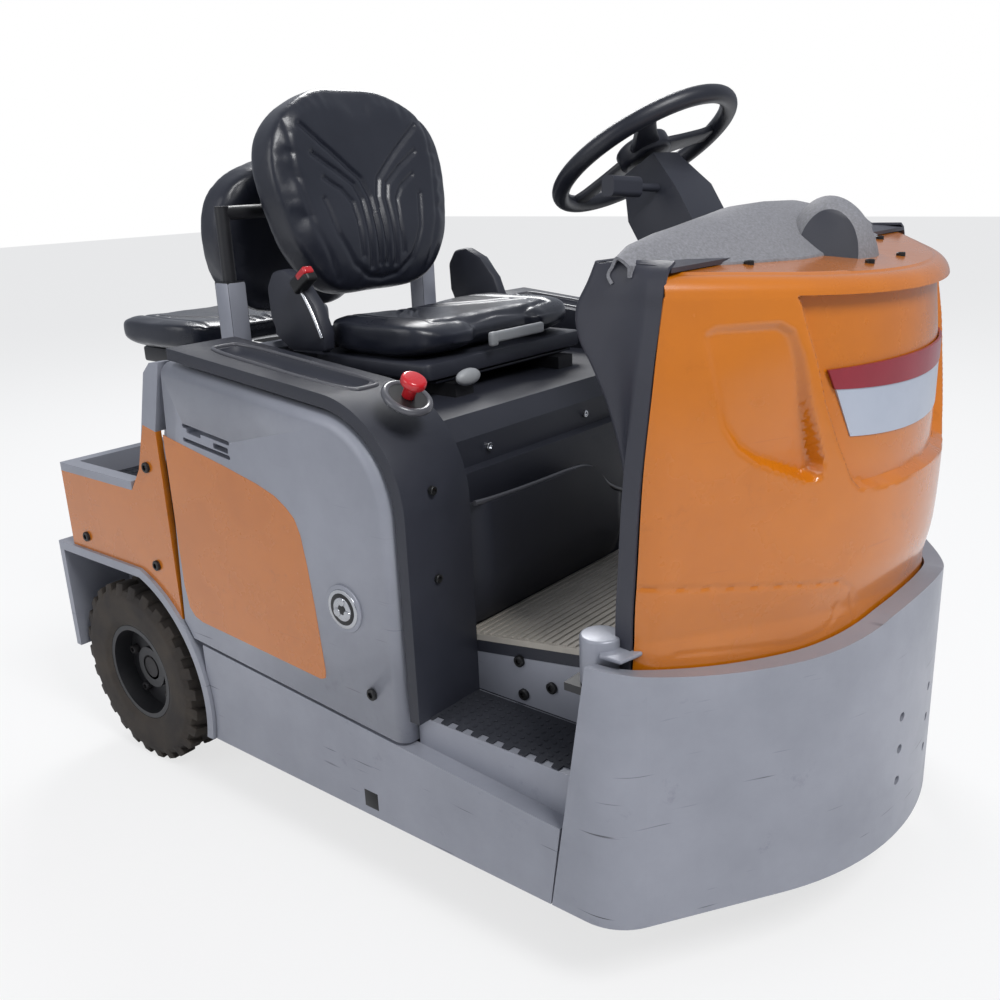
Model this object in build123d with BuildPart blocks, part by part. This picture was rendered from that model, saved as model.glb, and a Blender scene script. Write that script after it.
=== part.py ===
from build123d import *
import os
from math import cos, radians, sin, tan

os.makedirs("parts", exist_ok=True)

# Electric tow tractor. It faces -Y, its right side is at -X, and the ground is Z=0.
# Whole vehicle
half_width = 498
half_length = 895
skirt_bottom = 130
body_rear = 721
seam_gap = 2
door_gap = 6
running_gap = 0.05

# Steel nose bumper, seen from above a blunt arrow with three rounded corners
nose_angle = radians(34)
nose_radius = 500
bumper_corner = 90
bumper_wall = 30
bumper_rear_low = -553
bumper_rear_high = -620
bumper_side_top = 542
bumper_dip_x = 300
bumper_dip_top = 500
bumper_shoulder_x = 110
bumper_shoulder_top = 526
bumper_nose_top = 537
hitch_pitch_x = 120
hitch_pitch_z = 55
hitch_z = 288
hitch_hole_r = 7.5

# Battery and side doors
battery_size = (830, 414, 627)
battery_y = 12
battery_z = 125
floor_thick = 10
door_thick = 40
door_front = -272
door_seam_low = 302
door_seam_high = 262
door_low = 265
door_high = 853
door_corner = 150
door_edge_round = 22

# Rear wheels and arches
wheel_radius = 192
tyre_width = 116
rim_radius = 101
rear_wheel_y = 508
arch_radius = 246
arch_top = 424
arch_rear = 705
arch_lip = 18
fender_rear_low = 205
lip_proud = 7
axle_tube_r = 35
stub_r = 22

# Front steered wheel
front_wheel_y = -640
fork_leg = 14
fork_gap = 8
kingpin_r = 28
crown_top = 414
bearing_top = 468

# Skirt, steps and floor
skirt_thick = 30
ledge_rear_z = 326
ledge_front_z = 265
ledge_rear_y = 262
ledge_front_y = -573
step_z = 335
step_in = 346
step_thick = 12
floor_rear_y = -266
floor_front_y = -562
mat_rear_z = 430
mat_slope = radians(8)
mat_thick = 10
board_thick = 18

# Rear load tray
tray_top = 617
tray_rail = 17
tray_depth = 42
tray_wall = 15
tray_front = 387
tray_rail_front = 415
tray_rear = 671
panel_thick = 12

# Cowl and driver's side cover of the front module
cowl_seam_y = -690
cowl_top_rear = 1036
cowl_top_front = 1004
cowl_edge_round = 30

# Seat module
cover_out = 490
cover_in = 348
deck_z = 772
deck_front = -220
shell_thick = 10

# Seats
seat_half = 235
cushion_z = 905
back_top = 1330

# Steering
steering_tilt = radians(32)
steering_hub = (0, -395, 1167)
steering_ring_r = 148
steering_tube_r = 14


def save(piece, name):
    piece.label = name
    export_step(piece, f"parts/{name}.step")


def save_pair(piece, name):
    save(piece, f"{name}_right")
    save(piece.mirror(Plane.YZ), f"{name}_left")


def nose_plan(inset, side, corner, rear_y):
    # The arrow-shaped outline seen from above, moved inwards by inset.
    reach = half_length - nose_radius
    line = reach * cos(nose_angle) + nose_radius - inset
    shoulder_y = -(line - side * sin(nose_angle)) / cos(nose_angle)
    apex_y = -line / cos(nose_angle)
    with BuildSketch() as plan:
        with BuildLine():
            Polyline((-side, rear_y), (-side, shoulder_y), (0, apex_y), (side, shoulder_y), (side, rear_y), close=True)
        make_face()
        points = plan.vertices().sort_by(Axis.Y)
        fillet(points[0], nose_radius - inset)
        fillet(plan.vertices().filter_by(lambda v: abs(v.Y - shoulder_y) < 1), corner)
    return plan.sketch


def ledge_height(y):
    share = (y - ledge_front_y) / (ledge_rear_y - ledge_front_y)
    return ledge_front_z + share * (ledge_rear_z - ledge_front_z)


def mat_height(y):
    return mat_rear_z + (floor_rear_y - y) * tan(mat_slope)


def arch_opening(grow):
    # The wheel opening in side view: round in front, flat on top, open below.
    with BuildSketch() as opening:
        with Locations((rear_wheel_y, wheel_radius)):
            Circle(arch_radius + grow)
        with Locations((rear_wheel_y + arch_radius, wheel_radius)):
            Rectangle(2 * arch_radius, 4 * arch_radius, mode=Mode.SUBTRACT)
        with BuildLine():
            Polyline((rear_wheel_y, 0), (rear_wheel_y, arch_top + grow), (arch_rear, arch_top + grow),
                     (arch_rear, 0), close=True)
        make_face()
        with Locations((rear_wheel_y, arch_top + grow + arch_radius)):
            Rectangle(4 * arch_radius, 2 * arch_radius, mode=Mode.SUBTRACT)
        with Locations((rear_wheel_y, -arch_radius)):
            Rectangle(4 * arch_radius, 2 * arch_radius, mode=Mode.SUBTRACT)
    return opening.sketch


def side_plane(x):
    # A side view: local x runs along +Y, local y along +Z, and it is pulled towards +X.
    return Plane(origin=(x, 0, 0), x_dir=(0, 1, 0), z_dir=(1, 0, 0))


# Nose bumper
with BuildPart() as bumper:
    with BuildSketch(Plane.XY.offset(skirt_bottom)):
        add(nose_plan(0, half_width, bumper_corner, bumper_rear_low))
        add(nose_plan(bumper_wall, half_width - bumper_wall, bumper_corner - bumper_wall, 0), mode=Mode.SUBTRACT)
    extrude(amount=bumper_side_top - skirt_bottom)
    with BuildSketch(Plane.XZ):
        with BuildLine():
            left = ThreePointArc((-half_width - skirt_thick, bumper_side_top), (-bumper_dip_x, bumper_dip_top),
                                 (-bumper_shoulder_x, bumper_shoulder_top))
            middle = ThreePointArc(left @ 1, (0, bumper_nose_top), (bumper_shoulder_x, bumper_shoulder_top))
            right = ThreePointArc(middle @ 1, (bumper_dip_x, bumper_dip_top), (half_width + skirt_thick, bumper_side_top))
            Polyline(right @ 1, (half_width + skirt_thick, 2 * bumper_side_top),
                     (-half_width - skirt_thick, 2 * bumper_side_top), left @ 0)
        make_face()
    extrude(amount=2 * half_length, mode=Mode.SUBTRACT)
    with BuildSketch(side_plane(-half_width)):
        with BuildLine():
            Polyline((bumper_rear_low, skirt_bottom), (bumper_rear_high, bumper_side_top), (0, bumper_side_top),
                     (0, skirt_bottom), close=True)
        make_face()
    extrude(amount=2 * half_width, mode=Mode.SUBTRACT)
    with Locations(Plane(origin=(0, -half_length, hitch_z), x_dir=(1, 0, 0), z_dir=(0, -1, 0))):
        with GridLocations(hitch_pitch_x, hitch_pitch_z, 2, 3):
            Hole(hitch_hole_r, 3 * bumper_wall)
save(bumper.part, "bumper")

# Chassis: floor, front side beams, wheel bridge with its bearing, and rear rails
shelf_z = 480
shelf_thick = 12
beam_x = 232
beam_thick = 16
wheel_room_rear = -400
beam_front = -786
beam_rear = -300
rail_x = 300
rail_thick = 14
rail_low = 280
rail_front_end = 380
chassis_rear = body_rear - 16
rail_end = tray_rear - panel_thick - 4
tray_under = tray_top - tray_depth - 8
with BuildPart() as chassis:
    with BuildSketch(Plane.XY.offset(battery_z - floor_thick)):
        with Locations((0, (wheel_room_rear + ledge_rear_y) / 2)):
            Rectangle(2 * (half_width - skirt_thick), ledge_rear_y - wheel_room_rear)
    extrude(amount=floor_thick)
    with BuildSketch(Plane.XY.offset(shelf_z - shelf_thick)):
        add(nose_plan(bumper_wall, half_width - bumper_wall, bumper_corner - bumper_wall, floor_front_y))
    extrude(amount=shelf_thick)
    with BuildSketch(side_plane(beam_x)):
        with BuildLine():
            Polyline((beam_rear, battery_z), (beam_front, battery_z), (beam_front, shelf_z - shelf_thick),
                     (floor_front_y, shelf_z - shelf_thick),
                     (floor_front_y, mat_height(floor_front_y) - mat_thick - board_thick),
                     (beam_rear, mat_height(beam_rear) - mat_thick - board_thick), close=True)
        make_face()
    extrude(amount=beam_thick)
    mirror(about=Plane.YZ)
    with BuildSketch(side_plane(rail_x)):
        with BuildLine():
            Polyline((ledge_rear_y - 2 * floor_thick, battery_z), (ledge_rear_y - 2 * floor_thick, tray_under),
                     (rail_end, tray_under), (rail_end, arch_top), (chassis_rear, arch_top), (chassis_rear, rail_low),
                     (rail_front_end, rail_low), (rail_front_end, battery_z), close=True)
        make_face()
    extrude(amount=rail_thick)
    mirror(about=Plane.YZ)
    with BuildSketch(Plane.XZ.offset(-ledge_rear_y + floor_thick)):
        with Locations((0, battery_z + 200)):
            Rectangle(2 * (rail_x + rail_thick), 400)
    extrude(amount=floor_thick)
    with BuildSketch(Plane.XZ.offset(-body_rear)):
        with Locations((0, 330)):
            Rectangle(2 * (half_width - 140), 190)
    extrude(amount=16)
    with BuildSketch(Plane.XY.offset(crown_top + 6)):
        with Locations((0, front_wheel_y)):
            Circle(kingpin_r + 32)
    extrude(amount=shelf_z - crown_top - 6)
    with Locations((0, front_wheel_y, shelf_z)):
        Hole(kingpin_r + running_gap, 2 * shelf_z)
save(chassis.part, "chassis")

# Side skirts with a sloping ledge
skirt_front_z = ledge_front_z
ledge_drop = 16
ledge_in = 9
with BuildPart() as skirt:
    with BuildSketch(side_plane(-half_width)):
        with BuildLine():
            Polyline((bumper_rear_low + seam_gap, skirt_bottom), (ledge_front_y + seam_gap, ledge_front_z),
                     (ledge_rear_y, ledge_rear_z), (ledge_rear_y, skirt_bottom), close=True)
        make_face()
        add(arch_opening(arch_lip + seam_gap), mode=Mode.SUBTRACT)
    extrude(amount=skirt_thick)
    top_edge = skirt.edges().filter_by(lambda e: e.center().X < -half_width + 1).sort_by(Axis.Z)[-1]
    chamfer(top_edge, ledge_drop, ledge_in)
save_pair(skirt.part, "skirt")

# Rear fenders: arch lip, roof over the tyre and an inner wall with a hole for the axle
fender_in = -366
fender_wall = 6
with BuildPart() as fender:
    with BuildSketch(side_plane(-half_width - lip_proud)):
        with BuildLine():
            Polyline((ledge_rear_y - 60, skirt_bottom), (ledge_rear_y - 60, arch_top + arch_lip),
                     (body_rear, arch_top + arch_lip), (body_rear, skirt_bottom), close=True)
        make_face()
        add(arch_opening(arch_lip), mode=Mode.INTERSECT)
        with BuildLine():
            Polyline((arch_rear - 1, fender_rear_low), (arch_rear - 1, arch_top + arch_lip),
                     (body_rear, arch_top + arch_lip), (body_rear, fender_rear_low), close=True)
        make_face()
        add(arch_opening(0), mode=Mode.SUBTRACT)
    extrude(amount=fender_in + half_width + lip_proud)
    with BuildSketch(side_plane(fender_in)):
        add(arch_opening(arch_lip))
        with Locations((rear_wheel_y, 0)):
            Rectangle(4 * arch_radius, 2 * skirt_bottom, mode=Mode.SUBTRACT)
        with Locations((rear_wheel_y, wheel_radius)):
            Circle(axle_tube_r + 10, mode=Mode.SUBTRACT)
    extrude(amount=-fender_wall)
save_pair(fender.part, "fender")

# Orange rear side panels, stepped from the tray up to the body
body_step = ((303 + door_gap - 2, 726), (345, 734), (358, 704), (380, 645), (415, 600))
with BuildPart() as rear_side:
    with BuildSketch(side_plane(-half_width)):
        with BuildLine():
            Polyline((door_seam_low + door_gap, skirt_bottom), body_step[0], *body_step[1:],
                     (tray_rear, tray_top - tray_rail), (tray_rear, skirt_bottom), close=True)
        make_face()
        add(arch_opening(arch_lip), mode=Mode.SUBTRACT)
        with Locations((tray_rear, arch_top + arch_lip - 500)):
            Rectangle(100, 1000, mode=Mode.SUBTRACT)
    extrude(amount=panel_thick)
save_pair(rear_side.part, "rear_side_panel")

# Orange panel across the back
with BuildPart() as rear_panel:
    with BuildSketch(Plane.XZ.offset(-tray_rear)):
        with BuildLine():
            width = half_width - panel_thick
            Polyline((-width, arch_top + arch_lip), (-width, tray_top - tray_rail),
                     (width, tray_top - tray_rail), (width, arch_top + arch_lip), close=True)
        make_face()
    extrude(amount=panel_thick)
save(rear_panel.part, "rear_panel")

# Load tray with its rails
tray_floor = tray_top - tray_depth
tray_step = 48
tray_step_high = 6
with BuildPart() as tray:
    with BuildSketch(Plane.XY.offset(tray_top - tray_rail)):
        with Locations((0, (tray_rail_front + tray_rear) / 2)):
            Rectangle(2 * half_width, tray_rear - tray_rail_front)
    extrude(amount=tray_rail)
    with BuildSketch(Plane.XY.offset(tray_floor - 8)):
        with Locations((0, (tray_front + tray_rear - panel_thick) / 2)):
            Rectangle(2 * (half_width - panel_thick), tray_rear - panel_thick - tray_front)
    extrude(amount=tray_top - tray_rail - tray_floor + 8)
    with BuildSketch(Plane.XY.offset(tray_floor)):
        with Locations((0, (tray_front + tray_rear) / 2)):
            Rectangle(2 * (half_width - panel_thick - tray_wall), tray_rear - tray_front - 2 * (panel_thick + tray_wall))
    extrude(amount=tray_depth, mode=Mode.SUBTRACT)
    with BuildSketch(Plane.XY.offset(tray_floor)):
        with Locations((0, tray_front + panel_thick + tray_wall)):
            Rectangle(2 * (half_width - panel_thick - tray_wall), tray_step, align=(Align.CENTER, Align.MIN))
    extrude(amount=tray_step_high)
save(tray.part, "load_tray")

# Grey body end behind the battery: a slanted wall between two corner posts
wall_line = ((tray_front, tray_under), (tray_front, 630), (358, 704), (318, 831), (296, 850), (264, door_high))
with BuildPart() as body_end:
    with BuildSketch(side_plane(-cover_out + door_thick)):
        with BuildLine():
            edge = Polyline(*wall_line)
            offset(edge, amount=panel_thick, side=Side.LEFT)
        make_face()
    extrude(amount=2 * (cover_out - door_thick))
save(body_end.part, "body_end")

# Grey corner posts at the back of the body
with BuildPart() as post:
    with BuildSketch(side_plane(-half_width)):
        with BuildLine():
            Polyline((door_seam_high + door_gap, door_high), (296, 850), (318, 831), (358, 704), (345, 734), (303 + door_gap - 2, 726),
                     close=True)
        make_face()
    extrude(amount=half_width - cover_out + 20)
save_pair(post.part, "corner_post")


def door_outline(grow):
    # The door in side view, with its big front corner.
    with BuildSketch() as outline:
        with BuildLine():
            Polyline((door_seam_low, ledge_height(door_seam_low) + door_gap), (door_seam_high, door_high + grow),
                     (door_front - grow, door_high + grow - 55), (door_front - grow, ledge_height(door_front) + door_gap),
                     close=True)
        make_face()
        fillet(outline.vertices().sort_by(Axis.X)[:2].sort_by(Axis.Y)[-1], door_corner + grow)
    return outline.sketch


# Hinged side doors
with BuildPart() as door:
    with BuildSketch(side_plane(-half_width)):
        add(door_outline(0))
        add(arch_opening(arch_lip + door_gap), mode=Mode.SUBTRACT)
    extrude(amount=door_thick)
    rim = door.edges().filter_by(lambda e: e.center().X < 1 - half_width and e.center().Z > 500)
    fillet(rim.filter_by(lambda e: e.center().Y < 200), door_edge_round)
save_pair(door.part, "side_door")

# Black side covers that wrap over and in front of the doors
cover_band = 48
cover_front = -298
cover_rear = 250
with BuildPart() as side_cover:
    with BuildSketch(side_plane(-cover_out)):
        add(door_outline(cover_band - 22))
        with BuildLine():
            Polyline((cover_front, step_z), (cover_front, 600), (door_front, 600), (door_front, step_z), close=True)
        make_face()
        add(door_outline(door_gap), mode=Mode.SUBTRACT)
        with Locations((door_seam_low, 600)):
            Rectangle(2 * (door_seam_low - cover_rear), 1200, mode=Mode.SUBTRACT)
        with Locations((0, step_z - 200)):
            Rectangle(1200, 400, mode=Mode.SUBTRACT)
    extrude(amount=cover_out - cover_in)
    with BuildSketch(side_plane(-cover_in - shell_thick)):
        add(door_outline(cover_band - 22))
        with Locations((0, step_z - 200)):
            Rectangle(1200, 400, mode=Mode.SUBTRACT)
        with Locations((deck_front - 30 + 400, deck_z - shell_thick - 400)):
            Rectangle(800, 800, mode=Mode.SUBTRACT)
        with Locations((door_seam_low, 600)):
            Rectangle(2 * (door_seam_low - cover_rear), 1200, mode=Mode.SUBTRACT)
    extrude(amount=shell_thick)
save_pair(side_cover.part, "side_cover")

# Emergency stop button on the right cover
with BuildPart() as stop_button:
    with BuildSketch(Plane((-430, -262, 838), z_dir=(0, -0.5, 0.86))):
        Circle(9)
    extrude(amount=22)
    with BuildSketch(Plane((-430, -262, 838), z_dir=(0, -0.5, 0.86)).offset(22)):
        Circle(19)
    extrude(amount=14)
    add(side_cover.part, mode=Mode.SUBTRACT)
save(stop_button.part.solids().sort_by(SortBy.VOLUME)[-1], "stop_button")

# Battery hood under the seats: deck, rounded front beam and front wall
hood_rear = 286
with BuildPart() as hood:
    with BuildSketch(side_plane(-cover_in)):
        with BuildLine():
            Polyline((hood_rear, deck_z), (deck_front, deck_z), (-246, 740), (-246, 694), (floor_rear_y + 4, 690),
                     (floor_rear_y + 4, 398), (floor_rear_y + 16, 398), (floor_rear_y + 16, 680), (-236, 684),
                     (-236, 736), (deck_front + 6, deck_z - shell_thick), (hood_rear, deck_z - shell_thick), close=True)
        make_face()
    extrude(amount=2 * cover_in)
save(hood.part, "battery_hood")

# Storage pocket on the front wall of the hood
pocket_top = 640
pocket_out = 34
with BuildPart() as pocket:
    with BuildSketch(side_plane(-cover_in + 14)):
        with BuildLine():
            Polyline((floor_rear_y + 4, 440), (floor_rear_y + 4 - pocket_out, 470), (floor_rear_y + 4 - pocket_out, pocket_top),
                     (floor_rear_y + 10 - pocket_out, pocket_top), (floor_rear_y + 10 - pocket_out, 474),
                     (floor_rear_y + 4, 448), close=True)
        make_face()
    extrude(amount=440)
save(pocket.part, "front_pocket")

# Battery
with BuildPart() as battery:
    with Locations((0, battery_y, battery_z)):
        Box(*battery_size, align=(Align.CENTER, Align.CENTER, Align.MIN))
save(battery.part, "battery")

# Floor board with its side risers, and the ribbed mat
riser = 8
with BuildPart() as floor_board:
    with BuildSketch(side_plane(-step_in)):
        with BuildLine():
            top_rear = (floor_rear_y, mat_rear_z - mat_thick)
            top_front = (floor_front_y, mat_height(floor_front_y) - mat_thick)
            Polyline(top_rear, top_front, (floor_front_y, top_front[1] - board_thick),
                     (floor_rear_y, top_rear[1] - board_thick), close=True)
        make_face()
    extrude(amount=2 * step_in)
    with BuildSketch(side_plane(-step_in)):
        with BuildLine():
            Polyline(top_rear, top_front, (floor_front_y, step_z), (floor_rear_y, step_z), close=True)
        make_face()
    extrude(amount=riser)
    mirror(about=Plane.YZ)
save(floor_board.part, "floor_board")

with BuildPart() as mat:
    with BuildSketch(side_plane(-step_in)):
        with BuildLine():
            Polyline(top_rear, top_front, (floor_front_y, mat_height(floor_front_y)), (floor_rear_y, mat_rear_z), close=True)
        make_face()
    extrude(amount=2 * step_in)
save(mat.part, "floor_mat")

# Boarding steps with a toothed edge
tooth_count = 9
tooth_size = 12
step_out = half_width - skirt_thick
step_rear_y = door_front - seam_gap
step_front_y = floor_front_y - 6
with BuildPart() as step:
    with BuildSketch(side_plane(-step_out)):
        with BuildLine():
            Polyline((step_rear_y, step_z), (step_front_y, step_z), (step_front_y, step_z - 70),
                     (step_rear_y, step_z - 70), close=True)
        make_face()
    extrude(amount=step_thick)
    with BuildSketch(Plane.XY.offset(step_z)):
        with Locations((-(step_out + step_in) / 2, (step_rear_y + step_front_y) / 2)):
            Rectangle(step_out - step_in, step_rear_y - step_front_y)
        pitch = (step_rear_y - step_front_y - 40) / tooth_count
        with Locations((-step_out, (step_rear_y + step_front_y) / 2)):
            with GridLocations(0, pitch, 1, tooth_count):
                Rectangle(2 * tooth_size, tooth_size, mode=Mode.SUBTRACT)
    extrude(amount=-step_thick)
save_pair(step.part, "step")


# Front cowl and the dark cover behind it
def cowl_body(wall):
    # Three outlines joined upwards: inside the bumper, the widest line and the top.
    with BuildPart() as body:
        for z, inset, side, corner in ((shelf_z, 33, 448, 70), (546, 33, 448, 70), (610, 20, 450, 70), (1060, 32, 438, 70)):
            with BuildSketch(Plane.XY.offset(z)):
                add(nose_plan(inset + wall, side - wall, corner, cover_back_y))
        loft(ruled=True)
    return body.part


cover_back_y = -470
cowl_seam = ((-644, shelf_z), (-664, 669), (-690, 770), (-690, 1100))
cowl_roof = ((-940, cowl_top_front - 12), (-850, cowl_top_front), (-560, cowl_top_rear), (-440, cowl_top_rear))
with BuildPart() as cowl:
    add(cowl_body(0))
    with BuildSketch(side_plane(-half_width)):
        with BuildLine():
            Polyline(*cowl_seam, (0, 1100), (0, shelf_z), close=True)
        make_face()
        with BuildLine():
            Polyline(*cowl_roof, (-440, 1200), (-940, 1200), close=True)
        make_face()
    extrude(amount=2 * half_width, mode=Mode.SUBTRACT)
save(cowl.part, "front_cowl")

cover_profile = ((-560, shelf_z), (-572, 660), (-578, 747), (-555, 817), (-520, 885), (-492, 940), (-492, 985), (-530, 1036))
with BuildPart() as cover:
    add(cowl_body(2))
    with BuildSketch(side_plane(-half_width)):
        with BuildLine():
            Polyline(*cowl_seam, (-690, 1200), (-1000, 1200), (-1000, shelf_z), close=True)
        make_face()
        with BuildLine():
            Polyline(*cover_profile, (-530, 1200), (0, 1200), (0, shelf_z), close=True)
        make_face()
        with BuildLine():
            Polyline(*cowl_roof, (-440, 1200), (-940, 1200), close=True)
        make_face()
    extrude(amount=2 * half_width, mode=Mode.SUBTRACT)
save(cover.part, "cowl_rear_cover")

# Dash with its ridge, and the pod in front of it
with BuildPart() as dash:
    with BuildSketch(Plane.XY.offset(1004)):
        with BuildLine():
            Polyline((-390, -600), (-150, -740), (150, -740), (390, -600), (250, -545), (-250, -545), close=True)
        make_face()
    with BuildSketch(Plane.XY.offset(1080)):
        with Locations((0, -585)):
            Rectangle(120, 50)
    loft()
    add(cowl.part, mode=Mode.SUBTRACT)
    add(cover.part, mode=Mode.SUBTRACT)
save(dash.part.solids().sort_by(SortBy.VOLUME)[-1], "dash_top")

with BuildPart() as pod:
    with BuildSketch(Plane.XY.offset(1000)):
        with BuildLine():
            Polyline((-105, -700), (-60, -770), (60, -770), (105, -700), (60, -655), (-60, -655), close=True)
        make_face()
    with BuildSketch(Plane.XY.offset(1096)):
        with Locations((0, -712)):
            Rectangle(60, 24)
    loft()
    add(cowl.part, mode=Mode.SUBTRACT)
    add(cover.part, mode=Mode.SUBTRACT)
    add(dash.part, mode=Mode.SUBTRACT)
save(pod.part.solids().sort_by(SortBy.VOLUME)[-1], "instrument_pod")

# Steering column, shaft and wheel
hub = Plane(steering_hub, x_dir=(1, 0, 0), z_dir=(0, sin(steering_tilt), cos(steering_tilt)))
shaft_r = 11
hub_half = 16
column_top = -hub_half - 6
with BuildPart() as column:
    with BuildSketch(hub.offset(column_top)):
        Rectangle(72, 64)
    with BuildSketch(hub.offset(column_top - 70)):
        Rectangle(112, 100)
    loft()
    with BuildSketch(hub.offset(column_top - 70)):
        Rectangle(112, 100)
    extrude(amount=-80)
    with BuildSketch(hub.offset(column_top)):
        Circle(shaft_r + running_gap)
    extrude(amount=-60, mode=Mode.SUBTRACT)
    add(dash.part, mode=Mode.SUBTRACT)
    add(cover.part, mode=Mode.SUBTRACT)
save(column.part.solids().sort_by(SortBy.VOLUME)[-1], "steering_column")

spoke_angles = (98, 218, 338)
with BuildPart() as steering:
    with BuildSketch(Plane(steering_hub, x_dir=hub.z_dir, z_dir=(1, 0, 0))):
        with Locations((0, steering_ring_r)):
            Circle(steering_tube_r)
    revolve(axis=Axis(steering_hub, hub.z_dir))
    with BuildSketch(hub.offset(-hub_half)):
        Circle(42)
    extrude(amount=2 * hub_half)
    with BuildSketch(hub.offset(-5)):
        for angle in spoke_angles:
            with Locations(Rot(0, 0, angle) * Pos(steering_ring_r / 2, 0)):
                Rectangle(steering_ring_r, 34)
    extrude(amount=10)
    with BuildSketch(hub.offset(-hub_half)):
        Circle(shaft_r)
    extrude(amount=-52)
save(steering.part, "steering_wheel")

stalk_plane = Plane((-36, -452, 1112), z_dir=(-1, 0.05, 0.06))
with BuildPart() as stalk:
    with BuildSketch(stalk_plane):
        Circle(6)
    extrude(amount=70)
    with BuildSketch(stalk_plane.offset(70)):
        RectangleRounded(30, 22, 8)
    extrude(amount=72)
    add(column.part, mode=Mode.SUBTRACT)
save(stalk.part.solids().sort_by(SortBy.VOLUME)[-1], "direction_stalk")

# Pedals on the front wall of the footwell
pedal_rows = ((-150, 64, 130), (10, 84, 70))
with BuildPart() as pedals:
    for x, width, height in pedal_rows:
        with BuildSketch(side_plane(x - width / 2)):
            with BuildLine():
                Polyline((-484, 500), (-504, 500 + height), (-512, 500 + height), (-493, 500), close=True)
            make_face()
        extrude(amount=width)
        with BuildSketch(side_plane(x - 8)):
            with BuildLine():
                Polyline((-493, 508), (-502, 540), (-600, 540), (-600, 508), close=True)
            make_face()
        extrude(amount=16)
    add(cover.part, mode=Mode.SUBTRACT)
save(pedals.part, "pedals")


# Wheels
lug_count = 26
lug_depth = 7


def wheel_plane(x, y):
    return Plane((x, y, wheel_radius), x_dir=(0, 1, 0), z_dir=(1, 0, 0))


def tyre_part(x, y):
    # Solid tyre: a barrel with shoulder lugs cut into both edges of the tread.
    middle = Plane((x, y, wheel_radius), x_dir=(1, 0, 0), z_dir=(0, 1, 0))
    with BuildPart() as tyre:
        with BuildSketch(middle):
            half = tyre_width / 2
            with BuildLine():
                Polyline((-half + 10, rim_radius), (half - 10, rim_radius), (half, rim_radius + 24), (half, wheel_radius - 16),
                         (half - 12, wheel_radius), (-half + 12, wheel_radius), (-half, wheel_radius - 16),
                         (-half, rim_radius + 24), close=True)
            make_face()
        revolve(axis=Axis((x, y, wheel_radius), (1, 0, 0)))
    return tyre.part


def rim_part(x, y, bore, dish):
    # Rim ring with a recessed disc and hub on its outer side.
    with BuildPart() as rim:
        with BuildSketch(wheel_plane(x - tyre_width / 2 + 8, y)):
            Circle(rim_radius)
            Circle(rim_radius - 10, mode=Mode.SUBTRACT)
        extrude(amount=tyre_width - 16)
        with BuildSketch(wheel_plane(x - dish, y)):
            Circle(rim_radius - 4)
        extrude(amount=12)
        with BuildSketch(wheel_plane(x - dish - 14, y)):
            Circle(44)
        extrude(amount=60)
        with BuildSketch(wheel_plane(x - tyre_width, y)):
            Circle(bore)
        extrude(amount=2 * tyre_width, mode=Mode.SUBTRACT)
    return rim.part


rear_wheel_x = -half_width + tyre_width / 2
save_pair(tyre_part(rear_wheel_x, rear_wheel_y), "rear_tyre")
save_pair(rim_part(rear_wheel_x, rear_wheel_y, stub_r + running_gap, 10), "rear_rim")
save(tyre_part(0, front_wheel_y), "front_tyre")
save(rim_part(0, front_wheel_y, 14 + running_gap, 6), "front_rim")

# Drive axle: gear case in the middle, tubes and stub shafts
case_half = 150
axle_flange_x = 352
with BuildPart() as drive_axle:
    with BuildSketch(wheel_plane(-case_half, rear_wheel_y)):
        RectangleRounded(200, 150, 30)
    extrude(amount=2 * case_half)
    with BuildSketch(wheel_plane(-axle_flange_x, rear_wheel_y)):
        Circle(axle_tube_r)
    extrude(amount=2 * axle_flange_x)
    with GridLocations(2 * rail_x + rail_thick, 0, 2, 1):
        with Locations((0, rear_wheel_y, wheel_radius)):
            Box(60, 90, rail_low - wheel_radius, align=(Align.CENTER, Align.CENTER, Align.MIN))
    with BuildSketch(wheel_plane(rear_wheel_x - 20, rear_wheel_y)):
        Circle(stub_r)
    extrude(amount=-2 * rear_wheel_x + 40)
save(drive_axle.part, "drive_axle")

# Front fork with its kingpin and wheel spindle
fork_in = tyre_width / 2 + fork_gap
with BuildPart() as fork:
    with BuildSketch(wheel_plane(fork_in, front_wheel_y)):
        with BuildLine():
            Polyline((-45, -30), (-70, crown_top - wheel_radius), (70, crown_top - wheel_radius), (45, -30), close=True)
        make_face()
    extrude(amount=fork_leg)
    mirror(about=Plane.YZ)
    with BuildSketch(Plane.XY.offset(crown_top)):
        with Locations((0, front_wheel_y)):
            Rectangle(2 * (fork_in + fork_leg), 140)
    extrude(amount=-16)
    with BuildSketch(Plane.XY.offset(crown_top)):
        with Locations((0, front_wheel_y)):
            Circle(kingpin_r)
    extrude(amount=shelf_z - crown_top - 4)
    with BuildSketch(wheel_plane(-fork_in, front_wheel_y)):
        Circle(14)
    extrude(amount=2 * fork_in)
save(fork.part, "steering_fork")


# Seats
def cushion_block(length, width, height, round_by):
    # A plain rounded cushion standing on the ground plane.
    with BuildPart() as block:
        Box(width, length, height, align=(Align.CENTER, Align.CENTER, Align.MIN))
        fillet(block.edges().filter_by(Axis.Z), 45)
        fillet(block.edges().group_by(Axis.Z)[-1], round_by)
    return block.part


def back_block(width, height, thick, lean):
    # A shield-shaped backrest leaning about its foot.
    with BuildPart() as block:
        with BuildSketch(Plane.XZ):
            with BuildLine():
                Polyline((-width * 0.36, 0), (-width / 2, height * 0.35), (-width * 0.42, height * 0.85),
                         (-width * 0.25, height), (width * 0.25, height), (width * 0.42, height * 0.85),
                         (width / 2, height * 0.35), (width * 0.36, 0), close=True)
            make_face()
            fillet(vertices(), 45)
        extrude(amount=-thick)
        fillet(block.faces().sort_by(Axis.Y)[0].edges(), 18)
    return Rot(lean, 0, 0) * block.part


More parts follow.
